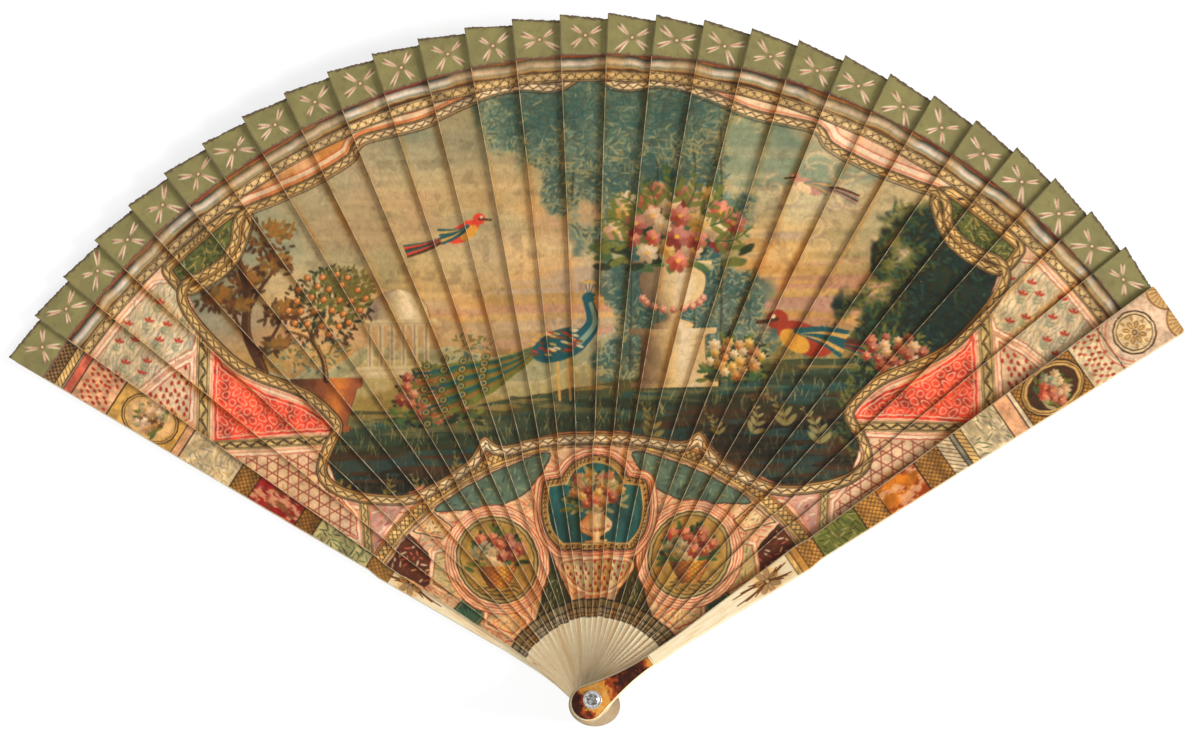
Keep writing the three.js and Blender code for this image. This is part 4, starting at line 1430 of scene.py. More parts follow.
FRONT_BANDS = (Band(184, 206, Figure.PLAIN, blend(BLUSH, PALE, 0.5)),
    Band(173.5, 184, Figure.SEEDS, PALE, (ROSE,)), Band(152.5, 173.5, Figure.CROSS, GOLD),
    Band(151, 152.5, Figure.PLAIN, WHITE), Band(146, 151, Figure.PLAIN, PINK),
    Band(134, 146, Figure.LEAVES, PALE, (SAGE, GREEN, SLATE)), Band(131.5, 134, Figure.HATCH, PALE_GOLD),
    Band(130, 131.5, Figure.PLAIN, SLATE), Band(125.5, 130, Figure.HATCH, PALE),
    Band(117, 125.5, Figure.CROSS, GOLD), Band(103, 117, Figure.MARBLE, AMBER, (SHELL_RED, PINK)),
    Band(95, 103, Figure.CROSS, GOLD), Band(80, 95, Figure.LEAVES, LEAF, (GREEN, SAGE, DARK_GREEN)),
    Band(74.5, 80, Figure.CROSS, GOLD), Band(72.2, 74.5, Figure.PLAIN, GOLD),
    Band(70.6, 72.2, Figure.PLAIN, PALE_GOLD))
BACK_BANDS = (Band(190, 206, Figure.CROSS, UMBER, (PALE_GOLD,)), Band(187.5, 190, Figure.HATCH, PALE_GOLD),
    Band(184, 187, Figure.PLAIN, ROSE), Band(171.5, 184, Figure.SEEDS, PINK, (RED,)),
    Band(148.7, 171.5, Figure.PLAIN, STRAW), Band(146, 148.7, Figure.PLAIN, PINK),
    Band(128, 146, Figure.LEAVES, PALE, (SAGE, SLATE, STRAW)), Band(121.5, 128, Figure.CROSS, GOLD),
    Band(105, 121.5, Figure.MARBLE, CRIMSON, (PLUM, PINK, BROWN)), Band(99, 105, Figure.CROSS, DARK_GOLD),
    Band(80, 99, Figure.LEAVES, SAGE, (DARK_GREEN, GREEN)), Band(72, 80, Figure.CROSS, DARK_GOLD))


# Meshes


def new_loop(mesh: bmesh.types.BMesh, points: Sequence[Point], z: float, closed: bool = True) -> list:
    """A line of edges through points at a height, in millimetres."""
    verts = [mesh.verts.new((x, y, z)) for x, y in points]
    ends = verts[1:] + (verts[:1] if closed else [])
    return [mesh.edges.new(pair) for pair in zip(verts, ends)]


def ring_loop(mesh: bmesh.types.BMesh, radius: float, z: float) -> list:
    """A circle of edges round the rivet's axis."""
    made = bmesh.ops.create_circle(mesh, radius=radius, segments=48, matrix=Matrix.Translation((0, 0, z)))
    return list(dict.fromkeys(edge for vert in made["verts"] for edge in vert.link_edges))


def drop(mesh: bmesh.types.BMesh, edges: Sequence, z: float) -> list:
    """Extrudes edges to a height and gives the new ones."""
    made = bmesh.ops.extrude_edge_only(mesh, edges=edges)["geom"]
    for vert in (item for item in made if isinstance(item, bmesh.types.BMVert)):
        vert.co.z = z
    return [item for item in made if isinstance(item, bmesh.types.BMEdge) and item.is_boundary]


def fill(mesh: bmesh.types.BMesh, edges: Sequence) -> None:
    """Fills the flat face that lines of edges enclose."""
    bmesh.ops.triangle_fill(mesh, edges=edges, use_beauty=True)


def open_edges(mesh: bmesh.types.BMesh) -> list:
    """The edges of the faces with nothing beyond them."""
    return [edge for edge in mesh.edges if edge.is_boundary]


def close(mesh: bmesh.types.BMesh, edges: Sequence) -> None:
    """Fills the last open face and turns all of them outwards."""
    fill(mesh, edges)
    bmesh.ops.recalc_face_normals(mesh, faces=mesh.faces)


def baked(mesh: bmesh.types.BMesh, name: str) -> bpy.types.Mesh:
    """Keeps what was built as a mesh of that name."""
    made = bpy.data.meshes.new(name)
    mesh.to_mesh(made)
    mesh.free()
    return made


def flat_grid(columns: int, rows: int) -> bmesh.types.BMesh:
    """A grid one unit wide and high, round the middle."""
    mesh = bmesh.new()
    bmesh.ops.create_grid(mesh, x_segments=columns, y_segments=rows, size=0.5)
    return mesh


def positions(mesh: bpy.types.Mesh) -> Array:
    """The vertices of a mesh as rows of three numbers."""
    flat = np.empty(len(mesh.vertices) * 3, np.float32)
    mesh.vertices.foreach_get("co", flat)
    return flat.reshape(-1, 3)


def put_in_scene(name: str, data: bpy.types.ID) -> bpy.types.Object:
    """A new object in the scene."""
    made = bpy.data.objects.new(name, data)
    bpy.context.scene.collection.objects.link(made)
    return made


def heights(node: str) -> tuple[float, float]:
    """Lowest and highest place of a CAD node, in millimetres."""
    low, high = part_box(node)
    return low.z / MM, high.z / MM


# Blades


@dataclass(frozen=True)
class Outline:
    """Outline of a blade drawn along Y, in millimetres."""

    tip_width: float
    panel_width: float
    gorge_width: float
    neck_width: float
    head_radius: float
    head_setback: float
    tip_slant: float = 0.95
    tangent: float = 15.0
    head_handle: float = 6.0
    neck_handle: float = 7.0

    def half_width(self, y: Array) -> Array:
        """Half the width at distances from the rivet, from the neck to the tip's round corners."""
        widths = (self.neck_width, self.neck_width, self.gorge_width, self.panel_width, self.tip_width)
        half = np.interp(y, (NECK_START, NECK_END, SHOULDER, PANEL_START, TIP), widths) / 2
        corner = np.clip((y - TIP + TIP_CORNER) / TIP_CORNER, 0, 1)
        return half - TIP_CORNER * (1 - np.sqrt(1 - corner)) ** 2

    def half_at(self, y: Array) -> Array:
        """Half the width along the straight sides, which the head and the tip's corners hold on to."""
        return self.half_width(np.clip(y, NECK_START, TIP - TIP_CORNER))

    def slant(self, x: Array, y: Array) -> Array:
        """How much further out a place near the slanted tip lies than on a square one."""
        share = np.clip((y - SILK_START) / (TIP - SILK_START), 0, 1)
        return -self.tip_slant * x / (self.tip_width / 2) * share

    def head_path(self, inset: float, end: float) -> list[Point]:
        """The throat and the round of the head.

        Args:
            inset: How far inside the outline.
            end: Where the neck ends.

        Returns:
            Points from the right of the neck, round the head, to its left.
        """
        neck, radius = self.neck_width / 2 - inset, self.head_radius - inset
        angle = math.radians(self.tangent)
        start, *rest = arc(0, -self.head_setback, radius, radius, np.linspace(angle, -math.pi / 2, 20))
        handle = Vector(start) + self.head_handle * Vector((-math.sin(angle), math.cos(angle)))
        throat = interpolate_bezier(Vector((neck, NECK_START)), Vector((neck, NECK_START - self.neck_handle)),
            handle, Vector(start), 14)
        right = [(neck, end)] * (end > NECK_START) + [(point.x, point.y) for point in throat] + rest
        return right + [(-x, y) for x, y in reversed(right[:-1])]


STICK_OUTLINE = Outline(16.3, 9.2, 10.0, 4.6, 5.6, 2.0)
BACK_OUTLINE = Outline(16.7, 7.3, 8.3, 3.9, 5.3, 1.6)
FRONT_OUTLINE = replace(BACK_OUTLINE, tip_slant=0.0)


@dataclass
class Shell:
    """The closed shell of a blade, drawn along Y: a fine grid on the painted side, and its plain head."""

    outline: Outline
    rows: int
    columns: int
    thickness: tuple[float, float]
    rim: tuple[Point, ...]
    start: float = NECK_START
    overlapped: bool = True
    pocket: float = 0.0
    recess: float = 0.0
    hole: float = 1.1
    recess_radius: float = 2.6

    def columns_at(self, y: float) -> Array:
        """Places across one row, close together where the next blade leaves it in view."""
        width = 2 * float(self.outline.half_width(np.array(y)))
        sides = np.array([place for place, _ in self.rim])
        inner = self.columns - 2 * len(sides) + 1
        seen = min(0.97, (0.0707 * y + 0.3) / width) if self.overlapped else 0.5
        split = inner - 5 if self.overlapped else inner // 2
        knots = np.interp(np.arange(1, inner + 1), (0, split, inner + 1),
            (sides[-1], width * seen, width - sides[-1]))
        return np.concatenate((sides, knots, width - sides[::-1])) - width / 2

    def top_at(self, y: Array) -> Array:
        """Height of the upper face."""
        return np.interp(y, (20.0, 26.0), self.thickness)

    def build(self) -> bpy.types.Mesh:
        """Makes the shell.

        Returns:
            The mesh, in millimetres.
        """
        mesh = flat_grid(self.columns, self.rows)
        end = TIP - 0.3 if self.pocket else SILK_START + 0.4  # the front guard is the one blade without silk
        painted = np.linspace(IVORY_END - 0.4, end, self.rows - 7)
        levels = np.concatenate((np.linspace(self.start, painted[0], 4)[:-1], painted,
            np.linspace(painted[-1], TIP, 6)[1:]))
        dips = np.zeros(self.columns + 1)
        for index, (_, dip) in enumerate(self.rim):
            dips[index] = dips[-1 - index] = dip
        places = [self.columns_at(level) for level in levels]
        tops = self.top_at(levels)
        for vert in mesh.verts:
            column, row = round((vert.co.x + 0.5) * self.columns), round((vert.co.y + 0.5) * self.rows)
            x, y = places[row][column], levels[row]
            vert.co = (x, y + self.outline.slant(x, y), tops[row] + dips[column])
        top = float(self.top_at(self.start))
        new_loop(mesh, self.outline.head_path(0.0, self.start), top + dips[0], False)
        bmesh.ops.remove_doubles(mesh, verts=mesh.verts, dist=1e-4)
        head = [edge for edge in mesh.edges if edge.is_wire or edge.is_boundary
            and max(vert.co.y for vert in edge.verts) < self.start + 1e-4]
        if self.pocket:
            rim = new_loop(mesh, self.outline.head_path(0.45, 20.5), top)
            fill(mesh, head + rim)
            top -= self.pocket
            head = drop(mesh, rim, top)
        hole = ring_loop(mesh, self.hole, top)
        fill(mesh, head + hole)
        if self.recess:
            hole = drop(mesh, hole, self.recess)
            fill(mesh, hole + ring_loop(mesh, self.recess_radius, self.recess))
        close(mesh, drop(mesh, open_edges(mesh), 0.0))
        return baked(mesh, "blade")


def finish_piece(name: str, mesh: bpy.types.Mesh, node: str, material: bpy.types.Material,
        sharp: float = 35.0) -> bpy.types.Object:
    """Turns a mesh into a piece of the fan in place of a CAD node.

    Args:
        name: Name of the piece.
        mesh: Its mesh, in metres and in place.
        node: The node that it replaces, whose body it rides on.
        material: Its finish.
        sharp: Angle in degrees past which an edge is sharp.

    Returns:
        The piece.
    """
    mesh.name = name
    mesh.materials.clear()
    mesh.materials.append(material)
    mesh.shade_smooth()
    mesh.set_sharp_from_angle(angle=math.radians(sharp))
    piece = put_in_scene(name, mesh)
    bodies = body_of(frame["nodes"][node])
    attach(piece, bodies if isinstance(bodies, str) else bodies[0])
    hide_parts(node)
    LOG.info("%s: %d faces in place of %s", name, len(mesh.polygons), node)
    return piece


@dataclass
class Lie:
    """How one blade lies: where it points, how high it is and how far its left edge curls up."""

    index: int
    z: float
    curl: float = 0.0

    def __post_init__(self) -> None:
        """Works out the turn on the rivet."""
        self.turn = math.radians(SPREAD / 2 - self.index * PITCH)

    def lift(self, x: Array, y: Array, outline: Outline) -> Array:
        """How far the curl lifts places on the blade."""
        half = outline.half_at(y)
        across = np.clip((x + half) / (2 * half), 0, 1)
        return self.curl * (1 - across) ** 2 * ease((y - 40) / 165)

    def spread(self, x: Array, y: Array) -> tuple[Array, Array]:
        """Places on the blade as places across the open fan."""
        c, s = math.cos(self.turn), math.sin(self.turn)
        return x * c - y * s, x * s + y * c

    def place(self, mesh: bpy.types.Mesh, local: Array, outline: Outline) -> None:
        """Moves a mesh that is drawn along Y, in millimetres, to where it lies, in metres."""
        x, y, z = local.T
        placed = np.stack((*self.spread(x, y), z + self.z + self.lift(x, y, outline)), 1) * MM
        mesh.vertices.foreach_set("co", placed.astype(np.float32).ravel())
        mesh.update()


def colour_mesh(mesh: bpy.types.Mesh, local: Array, rgb: Array, cover: Array, gilt: Array,
        index: int) -> None:
    """Stores the paint on a mesh, and a map of the blade as it is drawn along Y.

    Args:
        mesh: The mesh.
        local: Its vertices before they were placed, in millimetres.
        rgb: Colour at each vertex, as it looks.
        cover: How far the paint covers at each vertex.
        gilt: How metallic it is.
        index: Which blade it is, so that no two show the same grain.
    """
    paint = mesh.attributes.new("paint", "FLOAT_COLOR", "POINT")
    paint.data.foreach_set("color", np.column_stack((linear(rgb), cover)).astype(np.float32).ravel())
    mesh.attributes.new("gilt", "FLOAT", "POINT").data.foreach_set("value", gilt.astype(np.float32))
    corners = np.empty(len(mesh.loops), np.int32)
    mesh.loops.foreach_get("vertex_index", corners)
    flat = (local[corners, :2] + (10 + 8 * index, 10)) / 250
    mesh.uv_layers.new(name="blade").data.foreach_set("uv", flat.astype(np.float32).ravel())


# Finishes


Socket = bpy.types.NodeSocket


@dataclass
class Graph:
    """A node tree under construction."""

    tree: bpy.types.NodeTree

    def link(self, value: Socket, node: bpy.types.Node, name: str | int) -> None:
        """Feeds a value to a node's input."""
        self.tree.links.new(value, node.inputs[name])

    def node(self, kind: str, inputs: dict | None = None, **settings: Any) -> bpy.types.Node:
        """Adds a node.

        Args:
            kind: Blender's name of the node.
            inputs: A value, or a socket to link, for each input.
            settings: Options of the node.

        Returns:
            The node.
        """
        node = self.tree.nodes.new(kind)
        for name, value in settings.items():
            setattr(node, name, value)
        for name, value in (inputs or {}).items():
            if isinstance(value, Socket):
                self.link(value, node, name)
            else:
                node.inputs[name].default_value = value
        return node

    def math(self, operation: str, first: Socket, second: Socket | float = 0.0) -> Socket:
        """One sum on two values."""
        return self.node("ShaderNodeMath", {0: first, 1: second}, operation=operation).outputs[0]

    def times(self, first: Socket, second: Socket | float) -> Socket:
        """The product of two values."""
        return self.math("MULTIPLY", first, second)

    def mix(self, share: Socket, first: Any, second: Any) -> Socket:
        """Mixes two colours."""
        return self.node("ShaderNodeMix", {0: share, 6: first, 7: second}, data_type="RGBA").outputs[2]

    def span(self, value: Socket, low: float, high: float, to_low: float = 0.0,
            to_high: float = 1.0) -> Socket:
        """Maps a range of values to another, smoothly."""
        return self.node("ShaderNodeMapRange", {0: value, 1: low, 2: high, 3: to_low, 4: to_high},
            interpolation_type="SMOOTHSTEP").outputs[0]

    def place(self, source: str, scale: tuple[float, float, float]) -> Socket:
        """Object coordinates or the piece's own map, stretched."""
        where = self.node("ShaderNodeTexCoord").outputs[source]
        return self.node("ShaderNodeMapping", {"Vector": where, "Scale": scale}).outputs[0]

    def noise(self, vector: Socket, scale: Socket | float, detail: float = 4.0,
            roughness: float = 0.55) -> Socket:
        """Layered noise from 0 to 1."""
        return self.node("ShaderNodeTexNoise", {"Vector": vector, "Scale": scale, "Detail": detail,
            "Roughness": roughness}).outputs[0]

    def mask(self, build: "Effect", vector: Socket, scale: float) -> Socket:
        """The mask of a shared effect, at a place and a scale."""
        node = self.node("ShaderNodeGroup", node_tree=effect_group(build))
        self.link(vector, node, "Vector")
        node.inputs["Scale"].default_value = scale
        return node.outputs["Mask"]


Effect = Callable[[Graph, Socket, Socket], Socket]


def colour(tone: Array) -> tuple[float, ...]:
    """A colour as a socket takes it."""
    return (*(float(value) for value in linear(tone)), 1.0)


def empty_graph(owner: bpy.types.Material | bpy.types.World) -> Graph:
    """The cleared node tree of a material or a world."""
    owner.use_nodes = True
    owner.node_tree.nodes.clear()
    return Graph(owner.node_tree)


def effect_group(build: Effect) -> bpy.types.NodeTree:
    """A shader node group with a place and a scale that puts out one mask.

    Args:
        build: Adds its nodes, from the graph, the place and the scale, and gives the mask.

    Returns:
        The group, made at its first use.
    """
    name = build.__name__
    if name in bpy.data.node_groups:
        return bpy.data.node_groups[name]
    tree = bpy.data.node_groups.new(name, "ShaderNodeTree")
    for socket, way, kind in (("Vector", "INPUT", "Vector"), ("Scale", "INPUT", "Float"),
            ("Mask", "OUTPUT", "Float")):
        tree.interface.new_socket(socket, in_out=way, socket_type="NodeSocket" + kind)
    graph = Graph(tree)
    entry = graph.node("NodeGroupInput").outputs
    graph.node("NodeGroupOutput", {"Mask": build(graph, entry["Vector"], entry["Scale"])})
    return tree


def grime(graph: Graph, vector: Socket, scale: Socket) -> Socket:
    """Soft patches of dirt."""
    return graph.span(graph.noise(vector, scale, 6.0, 0.65), 0.48, 0.75)


def scratches(graph: Graph, vector: Socket, scale: Socket) -> Socket:
    """Fine rubbed lines along the piece."""
    return graph.span(graph.noise(vector, scale, 3.0, 0.7), 0.6, 0.68)


def craquelure(graph: Graph, vector: Socket, scale: Socket) -> Socket:
    """Fine cracks of old varnish."""
    cells = graph.node("ShaderNodeTexVoronoi", {"Vector": vector, "Scale": scale}, feature="DISTANCE_TO_EDGE")
    return graph.span(cells.outputs[0], 0.0, 0.05, 1.0, 0.0)


@dataclass(frozen=True)
class Finish:
    """A finish: the shader's plain numbers, and the nodes that vary over the surface."""

    name: str
    roughness: float = 0.4
    specular: float = 0.3
    coat: float = 0.0
    coat_roughness: float = 0.15
    sheen: float = 0.0
    metallic: float = 0.0
    transmission: float = 0.0
    bump: float = 0.15

    def build(self) -> bpy.types.Material:
        """Makes the material.

        Returns:
            The material.
        """
        material = bpy.data.materials.new(self.name)
        graph = empty_graph(material)
        shader = graph.node("ShaderNodeBsdfPrincipled", {"Roughness": self.roughness,
            "Specular IOR Level": self.specular, "Coat Weight": self.coat,
            "Coat Roughness": self.coat_roughness, "Sheen Weight": self.sheen, "Metallic": self.metallic,
            "Transmission Weight": self.transmission})
        graph.node("ShaderNodeOutputMaterial", {"Surface": shader.outputs[0]})
        self.wire(graph, shader)
        return material

    def wire(self, graph: Graph, shader: bpy.types.Node) -> None:
        """Adds what varies over the surface."""

    def raise_surface(self, graph: Graph, shader: bpy.types.Node, height: Socket, distance: float) -> None:
        """Feeds a height to the shader as a bump."""
        bump = graph.node("ShaderNodeBump", {"Strength": self.bump, "Distance": distance, "Height": height})
        graph.link(bump.outputs[0], shader, "Normal")


@dataclass(frozen=True)
class PaintedIvory(Finish):
    """Old ivory, streaked and polished, under paint, gilt and cracked varnish."""

    def wire(self, graph: Graph, shader: bpy.types.Node) -> None:
        """Adds the grain, the paint, its cracks, the dirt, and painted shade on the side faces."""
        where = graph.place("UV", (0.25, 0.25, 0.25))
        streaks = graph.noise(graph.place("UV", (0.25, 0.018, 0.25)), 2600.0, 4.0, 0.6)
        bare = graph.mix(graph.span(streaks, 0.3, 0.7), colour(IVORY), colour(PALE_IVORY))
        stains = graph.noise(graph.place("UV", (0.25, 0.016, 0.25)), 760.0, 3.0)
        bare = graph.mix(graph.span(stains, 0.46, 0.74, 0.0, 0.75), bare, colour(TAN))
        # painted shade: the side faces turn a darker sawn tone, partly real unpolished ivory, partly shade so
        # that they do not glare under the low lamp
        facing = graph.node("ShaderNodeSeparateXYZ",
            {0: graph.node("ShaderNodeNewGeometry").outputs["True Normal"]})
        side = graph.span(graph.math("ABSOLUTE", facing.outputs[2]), 0.2, 0.8, 0.5, 0.0)
        bare = graph.mix(side, bare, colour(SAWN_AND_SHADE))
        paint = graph.node("ShaderNodeAttribute", attribute_name="paint").outputs
        gilt = graph.node("ShaderNodeAttribute", attribute_name="gilt").outputs["Fac"]
        chips = graph.span(graph.noise(where, 1500.0, 4.0, 0.6), 0.7, 0.73, 1.0, 0.4)
        cover = graph.times(paint["Alpha"], chips)
        base = graph.mix(cover, bare, paint["Color"])
        cracks = graph.times(graph.mask(craquelure, graph.place("UV", (0.25, 0.11, 0.25)), 620.0), cover)
        dirt = graph.mask(grime, where, 420.0)
        base = graph.mix(graph.times(cracks, 0.2), base, colour(UMBER))
        base = graph.mix(graph.times(dirt, 0.08), base, colour(BROWN))
        graph.link(base, shader, "Base Color")
        graph.link(graph.math("ADD", graph.times(dirt, 0.2), self.roughness), shader, "Roughness")
        graph.link(gilt, shader, "Metallic")
        height = graph.math("SUBTRACT", graph.times(streaks, 0.4), cracks)
        self.raise_surface(graph, shader, graph.math("ADD", height, graph.times(gilt, 1.2)), 0.00006)


@dataclass(frozen=True)
class Silk(Finish):
    """Woven silk ribbon, dyed and painted."""

    def wire(self, graph: Graph, shader: bpy.types.Node) -> None:
        """Adds the weave, the paint, the slubs and the dirt."""
        warp, weft = (graph.node("ShaderNodeTexWave", {"Vector": graph.place("UV", (0.25, 0.25, 0.25)),
            "Scale": 900.0, "Distortion": 0.6}, bands_direction=way).outputs[1] for way in "XY")
        weave = graph.times(warp, weft)
        paint = graph.node("ShaderNodeAttribute", attribute_name="paint").outputs["Color"]
        slubs = graph.noise(graph.place("UV", (0.25, 0.02, 0.25)), 2400.0, 3.0)
        dirt = graph.mask(grime, graph.place("UV", (0.25, 0.25, 0.25)), 380.0)
        base = graph.mix(graph.times(weave, 0.16), paint, colour(PALE))
        base = graph.mix(graph.span(slubs, 0.5, 0.75, 0.0, 0.25), base, colour(SILK_DARK))
        base = graph.mix(graph.times(dirt, 0.25), base, colour(UMBER))
        graph.link(base, shader, "Base Color")
        self.raise_surface(graph, shader, weave, 0.00005)


@dataclass(frozen=True)
class Tortoiseshell(Finish):
    """Amber shell with dark blotches under a high polish."""

    def wire(self, graph: Graph, shader: bpy.types.Node) -> None:
        """Adds the blotches, dark at the neck and the foot of the head, and the scratches."""
        where = graph.place("Object", (1.0, 1.0, 1.0))
        turn = math.radians(90 - SPREAD / 2)
        way = graph.node("ShaderNodeVectorMath", {0: where, 1: (math.cos(turn), math.sin(turn), 0.0)},
            operation="DOT_PRODUCT").outputs["Value"]
        ragged = graph.math("SUBTRACT", graph.noise(where, 240.0, 4.0, 0.6), 0.5)
        way = graph.math("ADD", way, graph.times(ragged, 0.016))
        neck = graph.math("MINIMUM", graph.span(way, 0.004, 0.0095), graph.span(way, 0.0215, 0.0165))
        dark = graph.math("MAXIMUM", neck, graph.span(way, -0.0005, -0.0045))
        mottle = graph.noise(where, 700.0, 3.0)
        base = graph.mix(graph.span(mottle, 0.35, 0.7), colour(AMBER), colour(GOLD))
        depth = graph.math("ADD", dark, graph.times(graph.math("SUBTRACT", mottle, 0.5), 0.7))
        base = graph.mix(graph.span(depth, 0.05, 0.5), base, colour(SHELL_RED))
        base = graph.mix(graph.span(depth, 0.55, 1.05), base, colour(SHELL_DARK))
        rubbed = graph.mask(scratches, where, 1400.0)
        graph.link(graph.mix(graph.times(rubbed, 0.12), base, colour(STRAW)), shader, "Base Color")
        self.raise_surface(graph, shader, rubbed, 0.00003)


@dataclass(frozen=True)
class WornMetal(Finish):
    """Silver rubbed on its edges and dull in its hollows."""

    def wire(self, graph: Graph, shader: bpy.types.Node) -> None:
        """Adds the dirt and the scratches."""
        where = graph.place("Object", (1.0, 1.0, 1.0))
        dirt = graph.mask(grime, where, 900.0)
        rubbed = graph.mask(scratches, where, 2500.0)
        graph.link(graph.mix(graph.times(dirt, 0.5), colour(SILVER), colour(BROWN)), shader, "Base Color")
        graph.link(graph.math("ADD", graph.times(dirt, 0.25), self.roughness), shader, "Roughness")
        self.raise_surface(graph, shader, rubbed, 0.00002)


@dataclass(frozen=True)
class PasteGlass(Finish):
    """Clear paste with a grey cast."""

    def wire(self, graph: Graph, shader: bpy.types.Node) -> None:
        """Adds painted light and dark flashes to the base colour, a painted reflection of the facets."""
        painted_flash = graph.span(graph.noise(graph.place("Object", (1.0, 1.0, 1.0)), 1300.0, 1.0), 0.5, 0.62)
        graph.link(graph.mix(painted_flash, colour(PASTE), colour(PAINTED_FACET_DARK)), shader, "Base Color")


def show_white(graph: Graph) -> Socket:
    """1 for the rays that should see a plain white background."""
    path = graph.node("ShaderNodeLightPath").outputs
    seen = graph.math("MAXIMUM", path["Is Camera Ray"], path["Is Glossy Ray"])
    return graph.math("MAXIMUM", seen, path["Is Transmission Ray"])


@dataclass(frozen=True)
class Backdrop(Finish):
    """Grey paper that looks plain white to the camera."""

    glow: float = 0.76

    def wire(self, graph: Graph, shader: bpy.types.Node) -> None:
        """Adds the grey and the glow."""
        shader.inputs["Base Color"].default_value = (0.3, 0.3, 0.3, 1)
        shader.inputs["Emission Color"].default_value = (1, 1, 1, 1)
        graph.link(graph.times(show_white(graph), self.glow), shader, "Emission Strength")


# The fan


